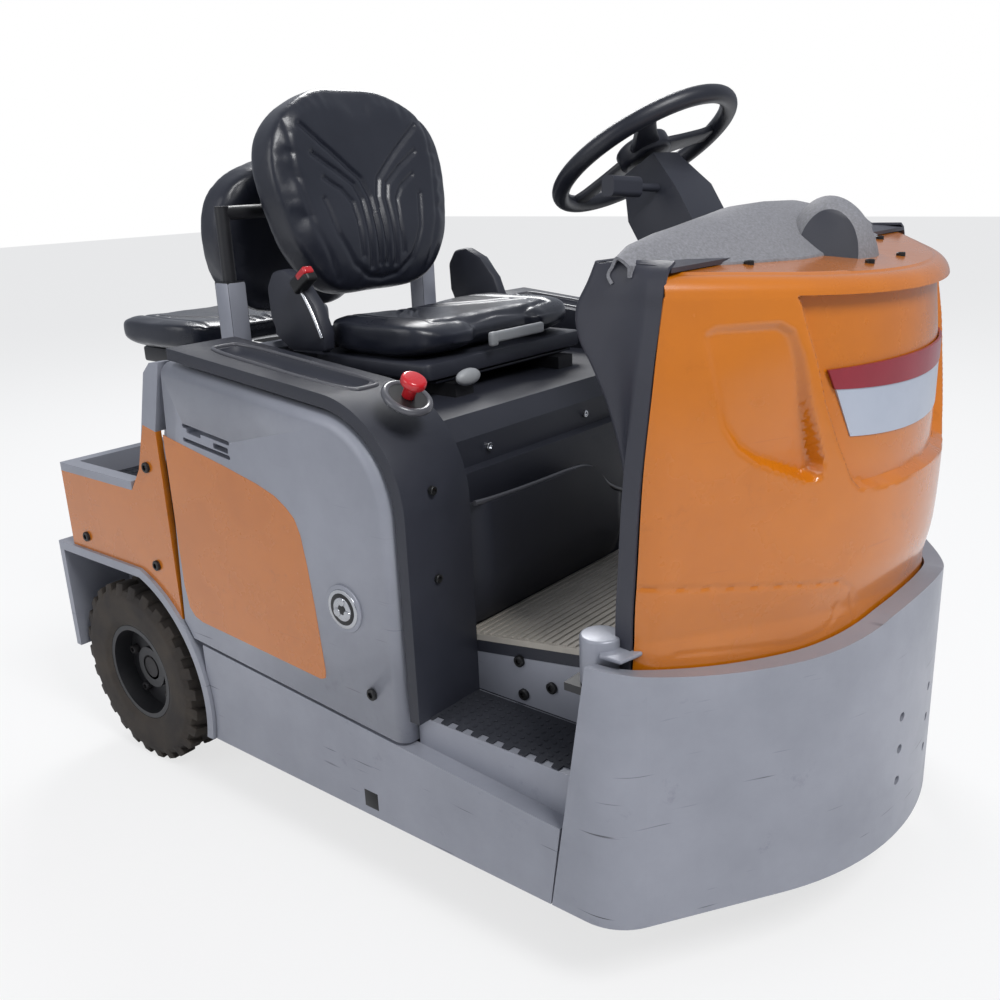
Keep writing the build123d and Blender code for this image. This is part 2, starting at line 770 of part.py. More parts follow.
seat_rear_y = 190
seat_front_y = -112
slide_top = deck_z + 24
seat_base_top = 836
with BuildPart() as seat_rail:
    with BuildSketch(Plane.XY.offset(deck_z)):
        with GridLocations(2 * 150, 0, 2, 1):
            Rectangle(46, 300)
    extrude(amount=slide_top - deck_z)
    with BuildSketch(Plane.XY.offset(deck_z)):
        Rectangle(300, 40)
    extrude(amount=8)
save(Pos(0, 30, 0) * seat_rail.part, "seat_rail")

with BuildPart() as seat_base:
    with BuildSketch(Plane.XY.offset(slide_top + 1)):
        with Locations((0, 40)):
            RectangleRounded(380, 260, 30)
    extrude(amount=seat_base_top - slide_top - 1)
save(seat_base.part, "seat_suspension")

cushion = Pos(0, (seat_rear_y + seat_front_y) / 2, seat_base_top) * cushion_block(
    seat_rear_y - seat_front_y, 2 * seat_half, cushion_z - seat_base_top, 22)
save(cushion, "driver_cushion")

pivot = (0, 216, 878)
lean = -9
back = Pos(0, 206, 918) * back_block(2 * seat_half, back_top - 918, 92, lean)
save(back, "driver_backrest")

with BuildPart() as recliner:
    with BuildSketch(side_plane(-seat_half - 24)):
        with BuildLine():
            Polyline((120, 842), (120, 880), (190, 960), (246, 960), (246, 870), (200, 842), close=True)
        make_face()
    extrude(amount=18)
    mirror(about=Plane.YZ)
    with Locations((0, 222, 856)):
        Box(2 * seat_half + 14, 24, 28)
save(recliner.part, "seat_recliner")

# Passenger seat that faces the rear, on its own frame
pass_front_y = half_length
pass_rear_y = 585
pass_z = 862
pass_cushion = Pos(0, (pass_front_y + pass_rear_y) / 2, pass_z - 66) * cushion_block(
    pass_front_y - pass_rear_y, 460, 66, 22)
save(pass_cushion, "passenger_cushion")
pass_back = Pos(0, 548, 870) * Rot(0, 0, 180) * back_block(440, 340, 80, lean)
save(pass_back, "passenger_backrest")

frame_tube = 40
post_x = 262
post_y = 365
post_top = 962
leg_y = 438
rail_z = 796
back_tube_top = 1100
with BuildPart() as pass_frame:
    with Locations((-post_x, post_y, rail_z - frame_tube), (post_x, post_y, rail_z - frame_tube)):
        Box(frame_tube, frame_tube, post_top - rail_z + frame_tube, align=(Align.CENTER, Align.CENTER, Align.MIN))
    with Locations((-post_x, post_y, post_top), (post_x, post_y, post_top)):
        Cylinder(13, back_tube_top - post_top, align=(Align.CENTER, Align.CENTER, Align.MIN))
    with Locations((0, post_y, back_tube_top - 13)):
        Cylinder(13, 2 * post_x, rotation=(0, 90, 0))
    with Locations((0, post_y, rail_z)):
        Box(2 * post_x, frame_tube, frame_tube, align=(Align.CENTER, Align.CENTER, Align.MAX))
    foot_z = tray_floor + tray_step_high
    with Locations((-post_x, leg_y, foot_z), (post_x, leg_y, foot_z)):
        Box(frame_tube, frame_tube, rail_z - foot_z, align=(Align.CENTER, Align.CENTER, Align.MIN))
    with Locations((-post_x, post_y, rail_z), (post_x, post_y, rail_z)):
        Box(frame_tube, leg_y - post_y + 20, frame_tube, align=(Align.CENTER, Align.MIN, Align.MAX))
    with GridLocations(300, 0, 2, 1):
        with Locations((0, post_y, rail_z)):
            Box(30, 480, frame_tube, align=(Align.CENTER, Align.MIN, Align.MAX))
        with Locations((0, post_y, back_tube_top - 13)):
            Box(30, 120, 24, align=(Align.CENTER, Align.MIN, Align.CENTER))
    add(pass_back, mode=Mode.SUBTRACT)
save(pass_frame.part, "passenger_frame")

# Rear coupling: jaw with two plates and a lift-out pin
jaw_z = 330
jaw_open = 70
jaw_plate = 18
pin_r = 12.5
pin_y = 846
with BuildPart() as coupling:
    with Locations((0, body_rear, jaw_z)):
        Box(170, 16, 180, align=(Align.CENTER, Align.MIN, Align.CENTER))
    for z in (jaw_z - jaw_open / 2 - jaw_plate, jaw_z + jaw_open / 2):
        with BuildSketch(Plane.XY.offset(z)):
            with BuildLine():
                Polyline((-60, body_rear + 16), (-60, pin_y - 10), (-34, half_length - 8), (34, half_length - 8),
                         (60, pin_y - 10), (60, body_rear + 16), close=True)
            make_face()
        extrude(amount=jaw_plate)
    with Locations((0, body_rear + 16, jaw_z)):
        Box(120, 40, jaw_open, align=(Align.CENTER, Align.MIN, Align.CENTER))
    with Locations((0, pin_y, jaw_z)):
        Cylinder(pin_r + running_gap, 300, mode=Mode.SUBTRACT)
save(coupling.part, "tow_coupling")

with BuildPart() as pin:
    with Locations((0, pin_y, jaw_z - jaw_open / 2 - jaw_plate - 10)):
        Cylinder(pin_r, jaw_open + 2 * jaw_plate + 40, align=(Align.CENTER, Align.CENTER, Align.MIN))
    with Locations((0, pin_y, jaw_z + jaw_open / 2 + jaw_plate + 0.5)):
        Cylinder(24, 8, align=(Align.CENTER, Align.CENTER, Align.MIN))
    with Locations((0, pin_y, jaw_z + jaw_open / 2 + jaw_plate + 46)):
        Torus(22, 6, rotation=(0, 90, 0))
save(pin.part, "coupling_pin")
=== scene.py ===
import bpy
import math
from mathutils import Matrix, Vector


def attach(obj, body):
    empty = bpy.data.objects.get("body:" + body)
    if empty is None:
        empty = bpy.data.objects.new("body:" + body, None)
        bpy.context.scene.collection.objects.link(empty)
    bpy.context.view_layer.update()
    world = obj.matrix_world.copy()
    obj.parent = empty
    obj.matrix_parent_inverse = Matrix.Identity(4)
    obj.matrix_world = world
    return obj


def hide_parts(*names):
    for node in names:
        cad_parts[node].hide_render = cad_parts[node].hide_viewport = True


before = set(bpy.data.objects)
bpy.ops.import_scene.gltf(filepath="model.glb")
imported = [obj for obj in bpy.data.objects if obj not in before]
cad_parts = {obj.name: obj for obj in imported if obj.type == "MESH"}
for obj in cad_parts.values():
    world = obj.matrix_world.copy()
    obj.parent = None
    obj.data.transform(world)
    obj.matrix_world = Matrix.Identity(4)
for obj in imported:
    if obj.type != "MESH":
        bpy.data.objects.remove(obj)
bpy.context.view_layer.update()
print("frame loaded")


# Small helpers for modelling

def clearSelection():
    if bpy.context.object and bpy.context.object.mode != "OBJECT":
        bpy.ops.object.mode_set(mode="OBJECT")
    bpy.ops.object.select_all(action="DESELECT")


def makeActive(piece):
    clearSelection()
    piece.select_set(True)
    bpy.context.view_layer.objects.active = piece


def applyPlace(piece):
    makeActive(piece)
    bpy.ops.object.transform_apply(location=True, rotation=True, scale=True)


def applyModifier(piece, kind, **settings):
    makeActive(piece)
    modifier = piece.modifiers.new(kind.lower(), kind)
    for key, value in settings.items():
        setattr(modifier, key, value)
    bpy.ops.object.modifier_apply(modifier=modifier.name)


def addCube(name, centre, size, bevel=0.0, segments=2, turn=(0, 0, 0)):
    clearSelection()
    bpy.ops.mesh.primitive_cube_add(size=1, location=centre, rotation=turn)
    piece = bpy.context.object
    piece.name = name
    piece.scale = size
    applyPlace(piece)
    if bevel:
        applyModifier(piece, "BEVEL", width=bevel, segments=segments, limit_method="ANGLE")
    return piece


def addDisc(name, centre, radius, depth, axis=(0, 0, 1), sides=32, bevel=0.0, segments=2):
    clearSelection()
    turn = Vector((0, 0, 1)).rotation_difference(Vector(axis)).to_euler()
    bpy.ops.mesh.primitive_cylinder_add(vertices=sides, radius=radius, depth=depth, location=centre,
                                        rotation=turn)
    piece = bpy.context.object
    piece.name = name
    applyPlace(piece)
    if bevel:
        applyModifier(piece, "BEVEL", width=bevel, segments=segments, limit_method="ANGLE")
    return piece


def addRing(name, centre, radius, thick, turn, around, across):
    clearSelection()
    bpy.ops.mesh.primitive_torus_add(major_radius=radius, minor_radius=thick, major_segments=around,
                                     minor_segments=across, location=centre, rotation=turn)
    piece = bpy.context.object
    piece.name = name
    applyPlace(piece)
    return piece


def addBall(name, around, up):
    clearSelection()
    bpy.ops.mesh.primitive_uv_sphere_add(segments=around, ring_count=up, radius=1, location=(0, 0, 0))
    piece = bpy.context.object
    piece.name = name
    return piece


def joinPieces(name, pieces):
    makeActive(pieces[0])
    for piece in pieces[1:]:
        piece.select_set(True)
    bpy.ops.object.join()
    joined = bpy.context.view_layer.objects.active
    joined.name = name
    return joined


def finishPiece(piece, material, body, smooth=35, replaces=()):
    # smooth is the largest angle in degrees that is shaded as a curve.
    makeActive(piece)
    piece.data.materials.clear()
    piece.data.materials.append(material)
    bpy.ops.object.shade_smooth_by_angle(angle=math.radians(smooth))
    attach(piece, body)
    if replaces:
        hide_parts(*replaces)
    clearSelection()


# Shader groups

def addNode(nodes, kind, values=None, **settings):
    node = nodes.new("ShaderNode" + kind)
    for key, value in settings.items():
        setattr(node, key, value)
    for socket, value in (values or {}).items():
        node.inputs[socket].default_value = value
    return node


def wire(links, *rows):
    # Each row is a node, its output, the node it feeds and that node's input.
    for source, output, target, socket in rows:
        links.new(source.outputs[output], target.inputs[socket])


# A colour Mix node's own sockets: its two colours and its result
colourA, colourB, colourOut = 6, 7, 2


def startGroup(name, inputs, outputs):
    group = bpy.data.node_groups.new(name, "ShaderNodeTree")
    for label, kind, value in inputs:
        socket = group.interface.new_socket(name=label, in_out="INPUT", socket_type=kind)
        if value is not None:
            socket.default_value = value
    for label, kind in outputs:
        group.interface.new_socket(name=label, in_out="OUTPUT", socket_type=kind)
    nodes = group.nodes
    return group, nodes, group.links, nodes.new("NodeGroupInput"), nodes.new("NodeGroupOutput")


def makeMottle():
    # Slow colour change over a surface, plus fine grain for the bump.
    group, nodes, links, ins, outs = startGroup(
        "mottle",
        [("Base", "NodeSocketColor", None), ("Second", "NodeSocketColor", None),
         ("Scale", "NodeSocketFloat", 6.0), ("Grain", "NodeSocketFloat", 400.0)],
        [("Color", "NodeSocketColor"), ("Height", "NodeSocketFloat"), ("Mask", "NodeSocketFloat")])
    place = addNode(nodes, "TexCoord")
    slow = addNode(nodes, "TexNoise", {"Detail": 5, "Roughness": 0.62})
    fine = addNode(nodes, "TexNoise", {"Detail": 3})
    mask = addNode(nodes, "MapRange", {"From Min": 0.35, "From Max": 0.68})
    mix = addNode(nodes, "Mix", data_type="RGBA")
    wire(links,
         (place, "Object", slow, "Vector"), (place, "Object", fine, "Vector"),
         (ins, "Scale", slow, "Scale"), (ins, "Grain", fine, "Scale"),
         (slow, "Fac", mask, "Value"), (mask, "Result", mix, "Factor"),
         (ins, "Base", mix, colourA), (ins, "Second", mix, colourB),
         (mix, colourOut, outs, "Color"), (fine, "Fac", outs, "Height"), (mask, "Result", outs, "Mask"))
    return group


def makeScratches():
    # Thin broken lines and scuffs, strongest low on the body.
    group, nodes, links, ins, outs = startGroup(
        "scratches",
        [("Low", "NodeSocketFloat", 0.15), ("High", "NodeSocketFloat", 0.6),
         ("Amount", "NodeSocketFloat", 0.5)],
        [("Mask", "NodeSocketFloat"), ("Scuff", "NodeSocketFloat")])
    place = addNode(nodes, "TexCoord")
    stretch = addNode(nodes, "Mapping", {"Scale": (2.2, 2.2, 60.0), "Rotation": (0.05, 0.04, 0.0)})
    lines = addNode(nodes, "TexNoise", {"Scale": 3.0, "Detail": 2.0})
    lineMask = addNode(nodes, "MapRange", {"From Min": 0.70, "From Max": 0.76})
    patches = addNode(nodes, "TexNoise", {"Scale": 9.0, "Detail": 8.0, "Roughness": 0.75})
    patchMask = addNode(nodes, "MapRange", {"From Min": 0.62, "From Max": 0.72})
    split = addNode(nodes, "SeparateXYZ")
    lowness = addNode(nodes, "MapRange", {"To Min": 1.0, "To Max": 0.0})
    lineHeight = addNode(nodes, "Math", operation="MULTIPLY")
    lineAmount = addNode(nodes, "Math", operation="MULTIPLY")
    scuffHeight = addNode(nodes, "Math", operation="MULTIPLY")
    wire(links,
         (place, "Object", stretch, "Vector"), (stretch, "Vector", lines, "Vector"),
         (lines, "Fac", lineMask, "Value"),
         (place, "Object", patches, "Vector"), (patches, "Fac", patchMask, "Value"),
         (place, "Object", split, "Vector"), (split, "Z", lowness, "Value"),
         (ins, "Low", lowness, "From Min"), (ins, "High", lowness, "From Max"),
         (lineMask, "Result", lineHeight, 0), (lowness, "Result", lineHeight, 1),
         (lineHeight, "Value", lineAmount, 0), (ins, "Amount", lineAmount, 1),
         (patchMask, "Result", scuffHeight, 0), (lowness, "Result", scuffHeight, 1),
         (lineAmount, "Value", outs, "Mask"), (scuffHeight, "Value", outs, "Scuff"))
    return group


mottleGroup = makeMottle()
scratchGroup = makeScratches()
bumpDistance = 0.001
scuffTint = (0.72, 0.72, 0.74, 1)


def makeMaterial(name, base, second, roughness, metallic=0.0, coat=0.0, coatRough=0.1, grain=400.0,
                 bump=0.15, mottle=6.0, spread=0.12, scratch=None, scratchColor=(0.02, 0.02, 0.025, 1)):
    # scratch is the height where wear is full, the height where it ends, and its amount.
    material = bpy.data.materials.new(name)
    material.use_nodes = True
    nodes, links = material.node_tree.nodes, material.node_tree.links
    shader = nodes["Principled BSDF"]
    for socket, value in (("Metallic", metallic), ("Coat Weight", coat), ("Coat Roughness", coatRough)):
        shader.inputs[socket].default_value = value
    surface = addNode(nodes, "Group", node_tree=mottleGroup)
    for socket, value in (("Base", (*base, 1)), ("Second", (*second, 1)), ("Scale", mottle),
                          ("Grain", grain)):
        surface.inputs[socket].default_value = value
    rough = addNode(nodes, "MapRange", {"To Min": roughness - spread / 2, "To Max": roughness + spread / 2})
    raised = addNode(nodes, "Bump", {"Strength": bump, "Distance": bumpDistance})
    wire(links,
         (surface, "Mask", rough, "Value"), (rough, "Result", shader, "Roughness"),
         (surface, "Height", raised, "Height"), (raised, "Normal", shader, "Normal"))
    if not scratch:
        wire(links, (surface, "Color", shader, "Base Color"))
        return material
    marks = addNode(nodes, "Group", node_tree=scratchGroup)
    for socket, value in zip(("Low", "High", "Amount"), scratch):
        marks.inputs[socket].default_value = value
    worn = addNode(nodes, "Mix", data_type="RGBA")
    worn.inputs[colourB].default_value = scratchColor
    dull = addNode(nodes, "Mix", data_type="RGBA", blend_type="MULTIPLY")
    dull.inputs[colourB].default_value = scuffTint
    wire(links,
         (marks, "Mask", worn, "Factor"), (surface, "Color", worn, colourA),
         (marks, "Scuff", dull, "Factor"), (worn, colourOut, dull, colourA),
         (dull, colourOut, shader, "Base Color"))
    return material


orangePaint = makeMaterial("orangePaint", (0.56, 0.158, 0.003), (0.50, 0.138, 0.003), 0.27, coat=0.7,
                           coatRough=0.12, bump=0.02, scratch=(0.4, 1.2, 0.25),
                           scratchColor=(0.25, 0.05, 0.01, 1))
silverColours = ((0.315, 0.325, 0.370), (0.275, 0.285, 0.325))
silverPaint = makeMaterial("silverPaint", *silverColours, 0.42, metallic=0.25, coat=0.2, coatRough=0.25,
                           bump=0.03, scratch=(0.15, 0.75, 0.8))
bumperPaint = makeMaterial("bumperPaint", *silverColours, 0.42, metallic=0.25, coat=0.2, coatRough=0.25,
                           bump=0.03, scratch=(0.15, 0.75, 1.0))
redPlastic = makeMaterial("redPlastic", (0.62, 0.012, 0.02), (0.52, 0.01, 0.016), 0.28, coat=0.5,
                          bump=0.02)
crimsonBand = makeMaterial("crimsonBand", (0.27, 0.008, 0.022), (0.22, 0.006, 0.018), 0.35, coat=0.4,
                           bump=0.02)
palePlate = makeMaterial("palePlate", (0.48, 0.52, 0.60), (0.42, 0.46, 0.54), 0.3, metallic=0.2,
                         coat=0.3, bump=0.02)

darkPlastic = makeMaterial("darkPlastic", (0.022, 0.024, 0.034), (0.028, 0.030, 0.042), 0.5, grain=900,
                           bump=0.25)
coverPlastic = makeMaterial("coverPlastic", (0.040, 0.041, 0.055), (0.034, 0.035, 0.047), 0.42,
                            grain=1100, bump=0.2)
texturedPlastic = makeMaterial("texturedPlastic", (0.17, 0.17, 0.18), (0.26, 0.26, 0.28), 0.62,
                               grain=1400, bump=0.5, mottle=260)
rimPlastic = makeMaterial("rimPlastic", (0.10, 0.10, 0.11), (0.07, 0.07, 0.08), 0.3, coat=0.4, bump=0.05)
greyHandle = makeMaterial("greyHandle", (0.36, 0.37, 0.38), (0.30, 0.31, 0.32), 0.45, bump=0.1)
softGrip = makeMaterial("softGrip", (0.010, 0.011, 0.018), (0.016, 0.018, 0.026), 0.38, grain=800)
blackVinyl = makeMaterial("blackVinyl", (0.010, 0.012, 0.020), (0.016, 0.018, 0.028), 0.33, coat=0.25,
                          coatRough=0.25, grain=520, bump=0.28, mottle=4, spread=0.2)

tyreRubber = makeMaterial("tyreRubber", (0.022, 0.017, 0.014), (0.055, 0.044, 0.034), 0.82, grain=500,
                          bump=0.5, mottle=14)
stepRubber = makeMaterial("stepRubber", (0.020, 0.022, 0.030), (0.032, 0.034, 0.044), 0.75, grain=600,
                          bump=0.5)
matRubber = makeMaterial("matRubber", (0.50, 0.46, 0.40), (0.40, 0.37, 0.32), 0.7, grain=500, bump=0.3,
                         mottle=12)

blackFrame = makeMaterial("blackFrame", (0.012, 0.012, 0.014), (0.02, 0.02, 0.022), 0.45, bump=0.1)
rimSteel = makeMaterial("rimSteel", (0.010, 0.010, 0.013), (0.03, 0.026, 0.024), 0.5, metallic=0.2,
                        bump=0.2)
brightSteel = makeMaterial("brightSteel", (0.55, 0.56, 0.58), (0.42, 0.43, 0.45), 0.25, metallic=1.0,
                           bump=0.05)
boltBlack = makeMaterial("boltBlack", (0.012, 0.012, 0.013), (0.02, 0.02, 0.02), 0.4, metallic=0.3,
                         bump=0.05)
print("materials ready")


# Every CAD node gets its finish here, also those that a new piece stands for further on

nodeFinishes = {
    "orangePaint": ["rear_side_panel_right", "rear_side_panel_left", "rear_panel", "front_cowl"],
    "bumperPaint": ["bumper"],
    "silverPaint": ["skirt_right", "skirt_left", "fender_right", "fender_left", "load_tray", "body_end",
                    "corner_post_right", "corner_post_left", "side_door_right", "side_door_left",
                    "step_right", "step_left"],
    "blackFrame": ["chassis", "drive_axle", "steering_fork", "seat_rail", "passenger_frame", "tow_coupling",
                   "rear_rim_right", "rear_rim_left", "front_rim"],
    "darkPlastic": ["side_cover_right", "side_cover_left", "battery_hood", "front_pocket",
                    "cowl_rear_cover", "steering_column", "direction_stalk", "seat_suspension",
                    "seat_recliner", "pedals", "battery", "floor_board"],
    "texturedPlastic": ["dash_top", "instrument_pod"],
    "softGrip": ["steering_wheel"],
    "matRubber": ["floor_mat"],
    "tyreRubber": ["rear_tyre_right", "rear_tyre_left", "front_tyre"],
    "blackVinyl": ["driver_cushion", "driver_backrest", "passenger_cushion", "passenger_backrest"],
    "redPlastic": ["stop_button"],
    "brightSteel": ["coupling_pin"],
}
for finish, names in nodeFinishes.items():
    for nodeName in names:
        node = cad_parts[nodeName]
        node.data.materials.clear()
        node.data.materials.append(bpy.data.materials[finish])
print("CAD nodes finished")


# Camera at the photograph's place, floor and light

def aimCamera():
    # Metres, degrees and millimetres; yaw turns from +Y towards +X, and pitch is downwards.
    view = {"place": (-1.480, -1.324, 1.147), "yaw": 51.24, "pitch": 17.907, "roll": -1.958,
            "lens": 37.2, "sensor": 36, "shift": (-0.0289, 0.0032), "nearest": 0.05}
    yaw, pitch, roll = (math.radians(view[k]) for k in ("yaw", "pitch", "roll"))
    forward = Vector((math.cos(pitch) * math.sin(yaw), math.cos(pitch) * math.cos(yaw), -math.sin(pitch)))
    flatRight = forward.cross(Vector((0, 0, 1))).normalized()
    flatUp = flatRight.cross(forward)
    right = math.cos(roll) * flatRight + math.sin(roll) * flatUp
    up = -math.sin(roll) * flatRight + math.cos(roll) * flatUp
    bpy.ops.object.camera_add(location=view["place"])
    camera = bpy.context.object
    turn = Matrix((right, up, -forward)).transposed().to_4x4()
    camera.matrix_world = Matrix.Translation(view["place"]) @ turn
    camera.data.sensor_width = view["sensor"]
    camera.data.lens = view["lens"]
    camera.data.shift_x, camera.data.shift_y = view["shift"]
    camera.data.clip_start = view["nearest"]
    bpy.context.scene.camera = camera


studio = {"floorSize": 40, "floorColour": (0.80, 0.80, 0.80, 1), "floorRoughness": 0.9, "floorGlow": 0.72,
          "skyColour": (0.84, 0.89, 1.0, 1), "skyStrength": 0.42}

# Each lamp's place, what it points at, its size in metres and its power in watts
lamps = {"key": ((-1.0, -3.2, 4.2), (0.2, 0.0, 0.4), 1.6, 150),
         "fill": ((-4.5, 1.5, 2.6), (0, 0, 0.5), 3.0, 50),
         "back": ((2.5, 2.5, 4.0), (0, 0, 0.6), 1.8, 120)}


def paleFloor():
    # Nearly white to the camera, so that the object stands out as on a plain sheet.
    material = bpy.data.materials.new("paleFloor")
    material.use_nodes = True
    nodes, links = material.node_tree.nodes, material.node_tree.links
    shader = nodes["Principled BSDF"]
    shader.inputs["Base Color"].default_value = studio["floorColour"]
    shader.inputs["Roughness"].default_value = studio["floorRoughness"]
    glow = addNode(nodes, "Emission")
    path = addNode(nodes, "LightPath")
    share = addNode(nodes, "Math", {1: studio["floorGlow"]}, operation="MULTIPLY")
    blend = addNode(nodes, "MixShader")
    wire(links,
         (path, "Is Camera Ray", share, 0), (share, "Value", blend, "Fac"),
         (shader, "BSDF", blend, 1), (glow, "Emission", blend, 2),
         (blend, "Shader", nodes["Material Output"], "Surface"))
    return material


def buildWorld():
    # Soft sky light on the object, plain white behind it.
    world = bpy.data.worlds.new("studio")
    bpy.context.scene.world = world
    world.use_nodes = True
    nodes, links = world.node_tree.nodes, world.node_tree.links
    background = nodes["Background"]
    background.inputs["Color"].default_value = studio["skyColour"]
    background.inputs["Strength"].default_value = studio["skyStrength"]
    sheet = addNode(nodes, "Background", {"Color": (1, 1, 1, 1)})
    path = addNode(nodes, "LightPath")
    blend = addNode(nodes, "MixShader")
    wire(links,
         (path, "Is Camera Ray", blend, "Fac"), (background, "Background", blend, 1),
         (sheet, "Background", blend, 2), (blend, "Shader", nodes["World Output"], "Surface"))


def buildStage():
    clearSelection()
    bpy.ops.mesh.primitive_plane_add(size=studio["floorSize"], location=(0, 0, 0))
    floor = bpy.context.object
    floor.name = "floor"
    floor.data.materials.append(paleFloor())
    buildWorld()
    for lampName, (place, aim, size, power) in lamps.items():
        bpy.ops.object.light_add(type="AREA", location=place)
        lamp = bpy.context.object
        lamp.name = lampName
        lamp.data.size = size
        lamp.data.energy = power
        lamp.rotation_euler = (Vector(aim) - Vector(place)).to_track_quat("-Z", "Y").to_euler()


aimCamera()
buildStage()
print("camera and light ready")

# Helpers for shaped surfaces, and how near two points are merged in each kind of mesh

merge = {"tyre": 0.0004, "grid": 0.0001, "node": 0.00005, "plate": 0.00001}
boltForm = {"sides": 24, "facing": 0.9, "crown": 0.18, "crownHigh": 0.35, "socket": 0.3, "socketDeep": 0.9}


def placeGrid(name, columns, rows, place):
    clearSelection()
    bpy.ops.mesh.primitive_grid_add(x_subdivisions=columns, y_subdivisions=rows, size=1)
    piece = bpy.context.object
    piece.name = name
    for vertex in piece.data.vertices:
        vertex.co = place(vertex.co.x + 0.5, vertex.co.y + 0.5)
    return piece


def closeUp(piece, distance):
    makeActive(piece)
    bpy.ops.object.mode_set(mode="EDIT")
    bpy.ops.mesh.select_all(action="SELECT")
    bpy.ops.mesh.remove_doubles(threshold=distance)
    bpy.ops.mesh.normals_make_consistent(inside=False)
    bpy.ops.object.mode_set(mode="OBJECT")
    return piece


def addPlate(name, outline, place, push, bevel=0.0):
    # A flat outline laid out by place(a, b), then pushed out along a vector.
    clearSelection()
    bpy.ops.mesh.primitive_circle_add(vertices=len(outline), radius=1, fill_type="NGON")
    piece = bpy.context.object
    piece.name = name
    for vertex, point in zip(piece.data.vertices, outline):
        vertex.co = place(*point)
    bpy.ops.object.mode_set(mode="EDIT")
    bpy.ops.mesh.select_all(action="SELECT")
    bpy.ops.mesh.extrude_region_move(TRANSFORM_OT_translate={"value": push})
    bpy.ops.object.mode_set(mode="OBJECT")
    closeUp(piece, merge["plate"])
    if bevel:
        applyModifier(piece, "BEVEL", width=bevel, segments=2, limit_method="ANGLE")
    return piece


def addTube(name, points, radius):
    # A round bar on a smooth curve that the points steer.
    clearSelection()
    bpy.ops.curve.primitive_nurbs_path_add()
    piece = bpy.context.object
    piece.name = name
    curve = piece.data
    curve.splines.clear()
    line = curve.splines.new("NURBS")
    line.points.add(len(points) - 1)
    for point, place in zip(line.points, points):
        point.co = (*place, 1)
    line.order_u = 3
    line.use_endpoint_u = True
    curve.bevel_depth = radius
    curve.bevel_resolution = 3
    curve.use_fill_caps = True
    piece.location = (0, 0, 0)
    bpy.ops.object.convert(target="MESH")
    applyPlace(piece)
    return piece


def addBolt(name, place, axis, radius, height=0.004):
    # A round head with a raised crown and a sunk socket.
    bolt = addDisc(name, place, radius, 2 * height, axis=axis, sides=boltForm["sides"])
    way = Vector(axis).normalized()
    bpy.ops.object.mode_set(mode="EDIT")
    bpy.ops.mesh.select_all(action="DESELECT")
    bpy.ops.object.mode_set(mode="OBJECT")
    for face in bolt.data.polygons:
        face.select = face.normal.dot(way) > boltForm["facing"]
    bpy.ops.object.mode_set(mode="EDIT")
    bpy.ops.mesh.inset(thickness=radius * boltForm["crown"])
    bpy.ops.transform.translate(value=way * height * boltForm["crownHigh"])
    bpy.ops.mesh.inset(thickness=radius * boltForm["socket"])
    bpy.ops.mesh.extrude_region_move(
        TRANSFORM_OT_translate={"value": -way * height * boltForm["socketDeep"]})
    bpy.ops.object.mode_set(mode="OBJECT")
    return bolt


def copyNode(name, node):
    # A free copy of a CAD node, with its own mesh.
    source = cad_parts[node]
    piece = source.copy()
    piece.data = source.data.copy()
    bpy.context.scene.collection.objects.link(piece)
    piece.name = name
    piece.parent = None
    return piece


def cutAway(piece, cutter):
    applyModifier(piece, "BOOLEAN", object=cutter, operation="DIFFERENCE", solver="EXACT")
    bpy.data.objects.remove(cutter, do_unlink=True)


def ramp(value, rows):
    # Smooth reading of a short table of (place, value) rows.
    if value <= rows[0][0]:
        return rows[0][1]
    for index, ((a, low), (b, high)) in enumerate(zip(rows, rows[1:])):
        if value <= b:
            before = rows[index - 1] if index else (a - (b - a), low - (high - low))
            after = rows[index + 2] if index + 2 < len(rows) else (b + (b - a), high + (high - low))
            slopeIn = (high - before[1]) / (b - before[0]) * (b - a)
            slopeOut = (after[1] - low) / (after[0] - a) * (b - a)
            t = (value - a) / (b - a)
            return ((2 * t ** 3 - 3 * t * t + 1) * low + (t ** 3 - 2 * t * t + t) * slopeIn
                    + (3 * t * t - 2 * t ** 3) * high + (t ** 3 - t * t) * slopeOut)
    return rows[-1][1]


def sideDistance(x, y, outline):
    # Distance to a closed outline, positive inside it.
    nearest, inside = math.inf, False
    for (ax, ay), (bx, by) in zip(outline, outline[1:] + outline[:1]):
        dx, dy = bx - ax, by - ay
        share = min(1, max(0, ((x - ax) * dx + (y - ay) * dy) / (dx * dx + dy * dy)))
        nearest = min(nearest, math.hypot(x - ax - share * dx, y - ay - share * dy))
        if (ay > y) != (by > y) and x < ax + (y - ay) * dx / dy:
            inside = not inside
    return nearest if inside else -nearest


def lineDistance(x, y, line):
    # Distance to an open line.
    nearest = math.inf
    for (ax, ay), (bx, by) in zip(line, line[1:]):
        dx, dy = bx - ax, by - ay
        share = min(1, max(0, ((x - ax) * dx + (y - ay) * dy) / (dx * dx + dy * dy)))
        nearest = min(nearest, math.hypot(x - ax - share * dx, y - ay - share * dy))
    return nearest


def easeIn(distance, width):
    # Rises from 0 to 1 over width, and is a half at distance 0.
    share = min(1, max(0, distance / width + 0.5))
    return share * share * (3 - 2 * share)


# Front cowl: one skin round the nose, with its set-back middle and two flank recesses

sides = ((-1, "Right"), (1, "Left"))
detail = 1.0
nosePlan = {"angle": math.radians(34), "radius": 0.5, "centreY": -0.395}
cowl = {
    "low": 0.484, "wallTop": 0.972, "seamTop": 0.985, "side": 0.442, "corner": 0.07, "thick": 0.003,
    "roofHigh": 1.004, "roofFromY": -0.85, "roofSlope": 0.110, "roofEndY": -0.664, "roofRound": 0.026,
    "roofNarrow": 0.06, "wallShare": 0.82, "bendShare": 0.92, "across": 250, "up": 150,
}

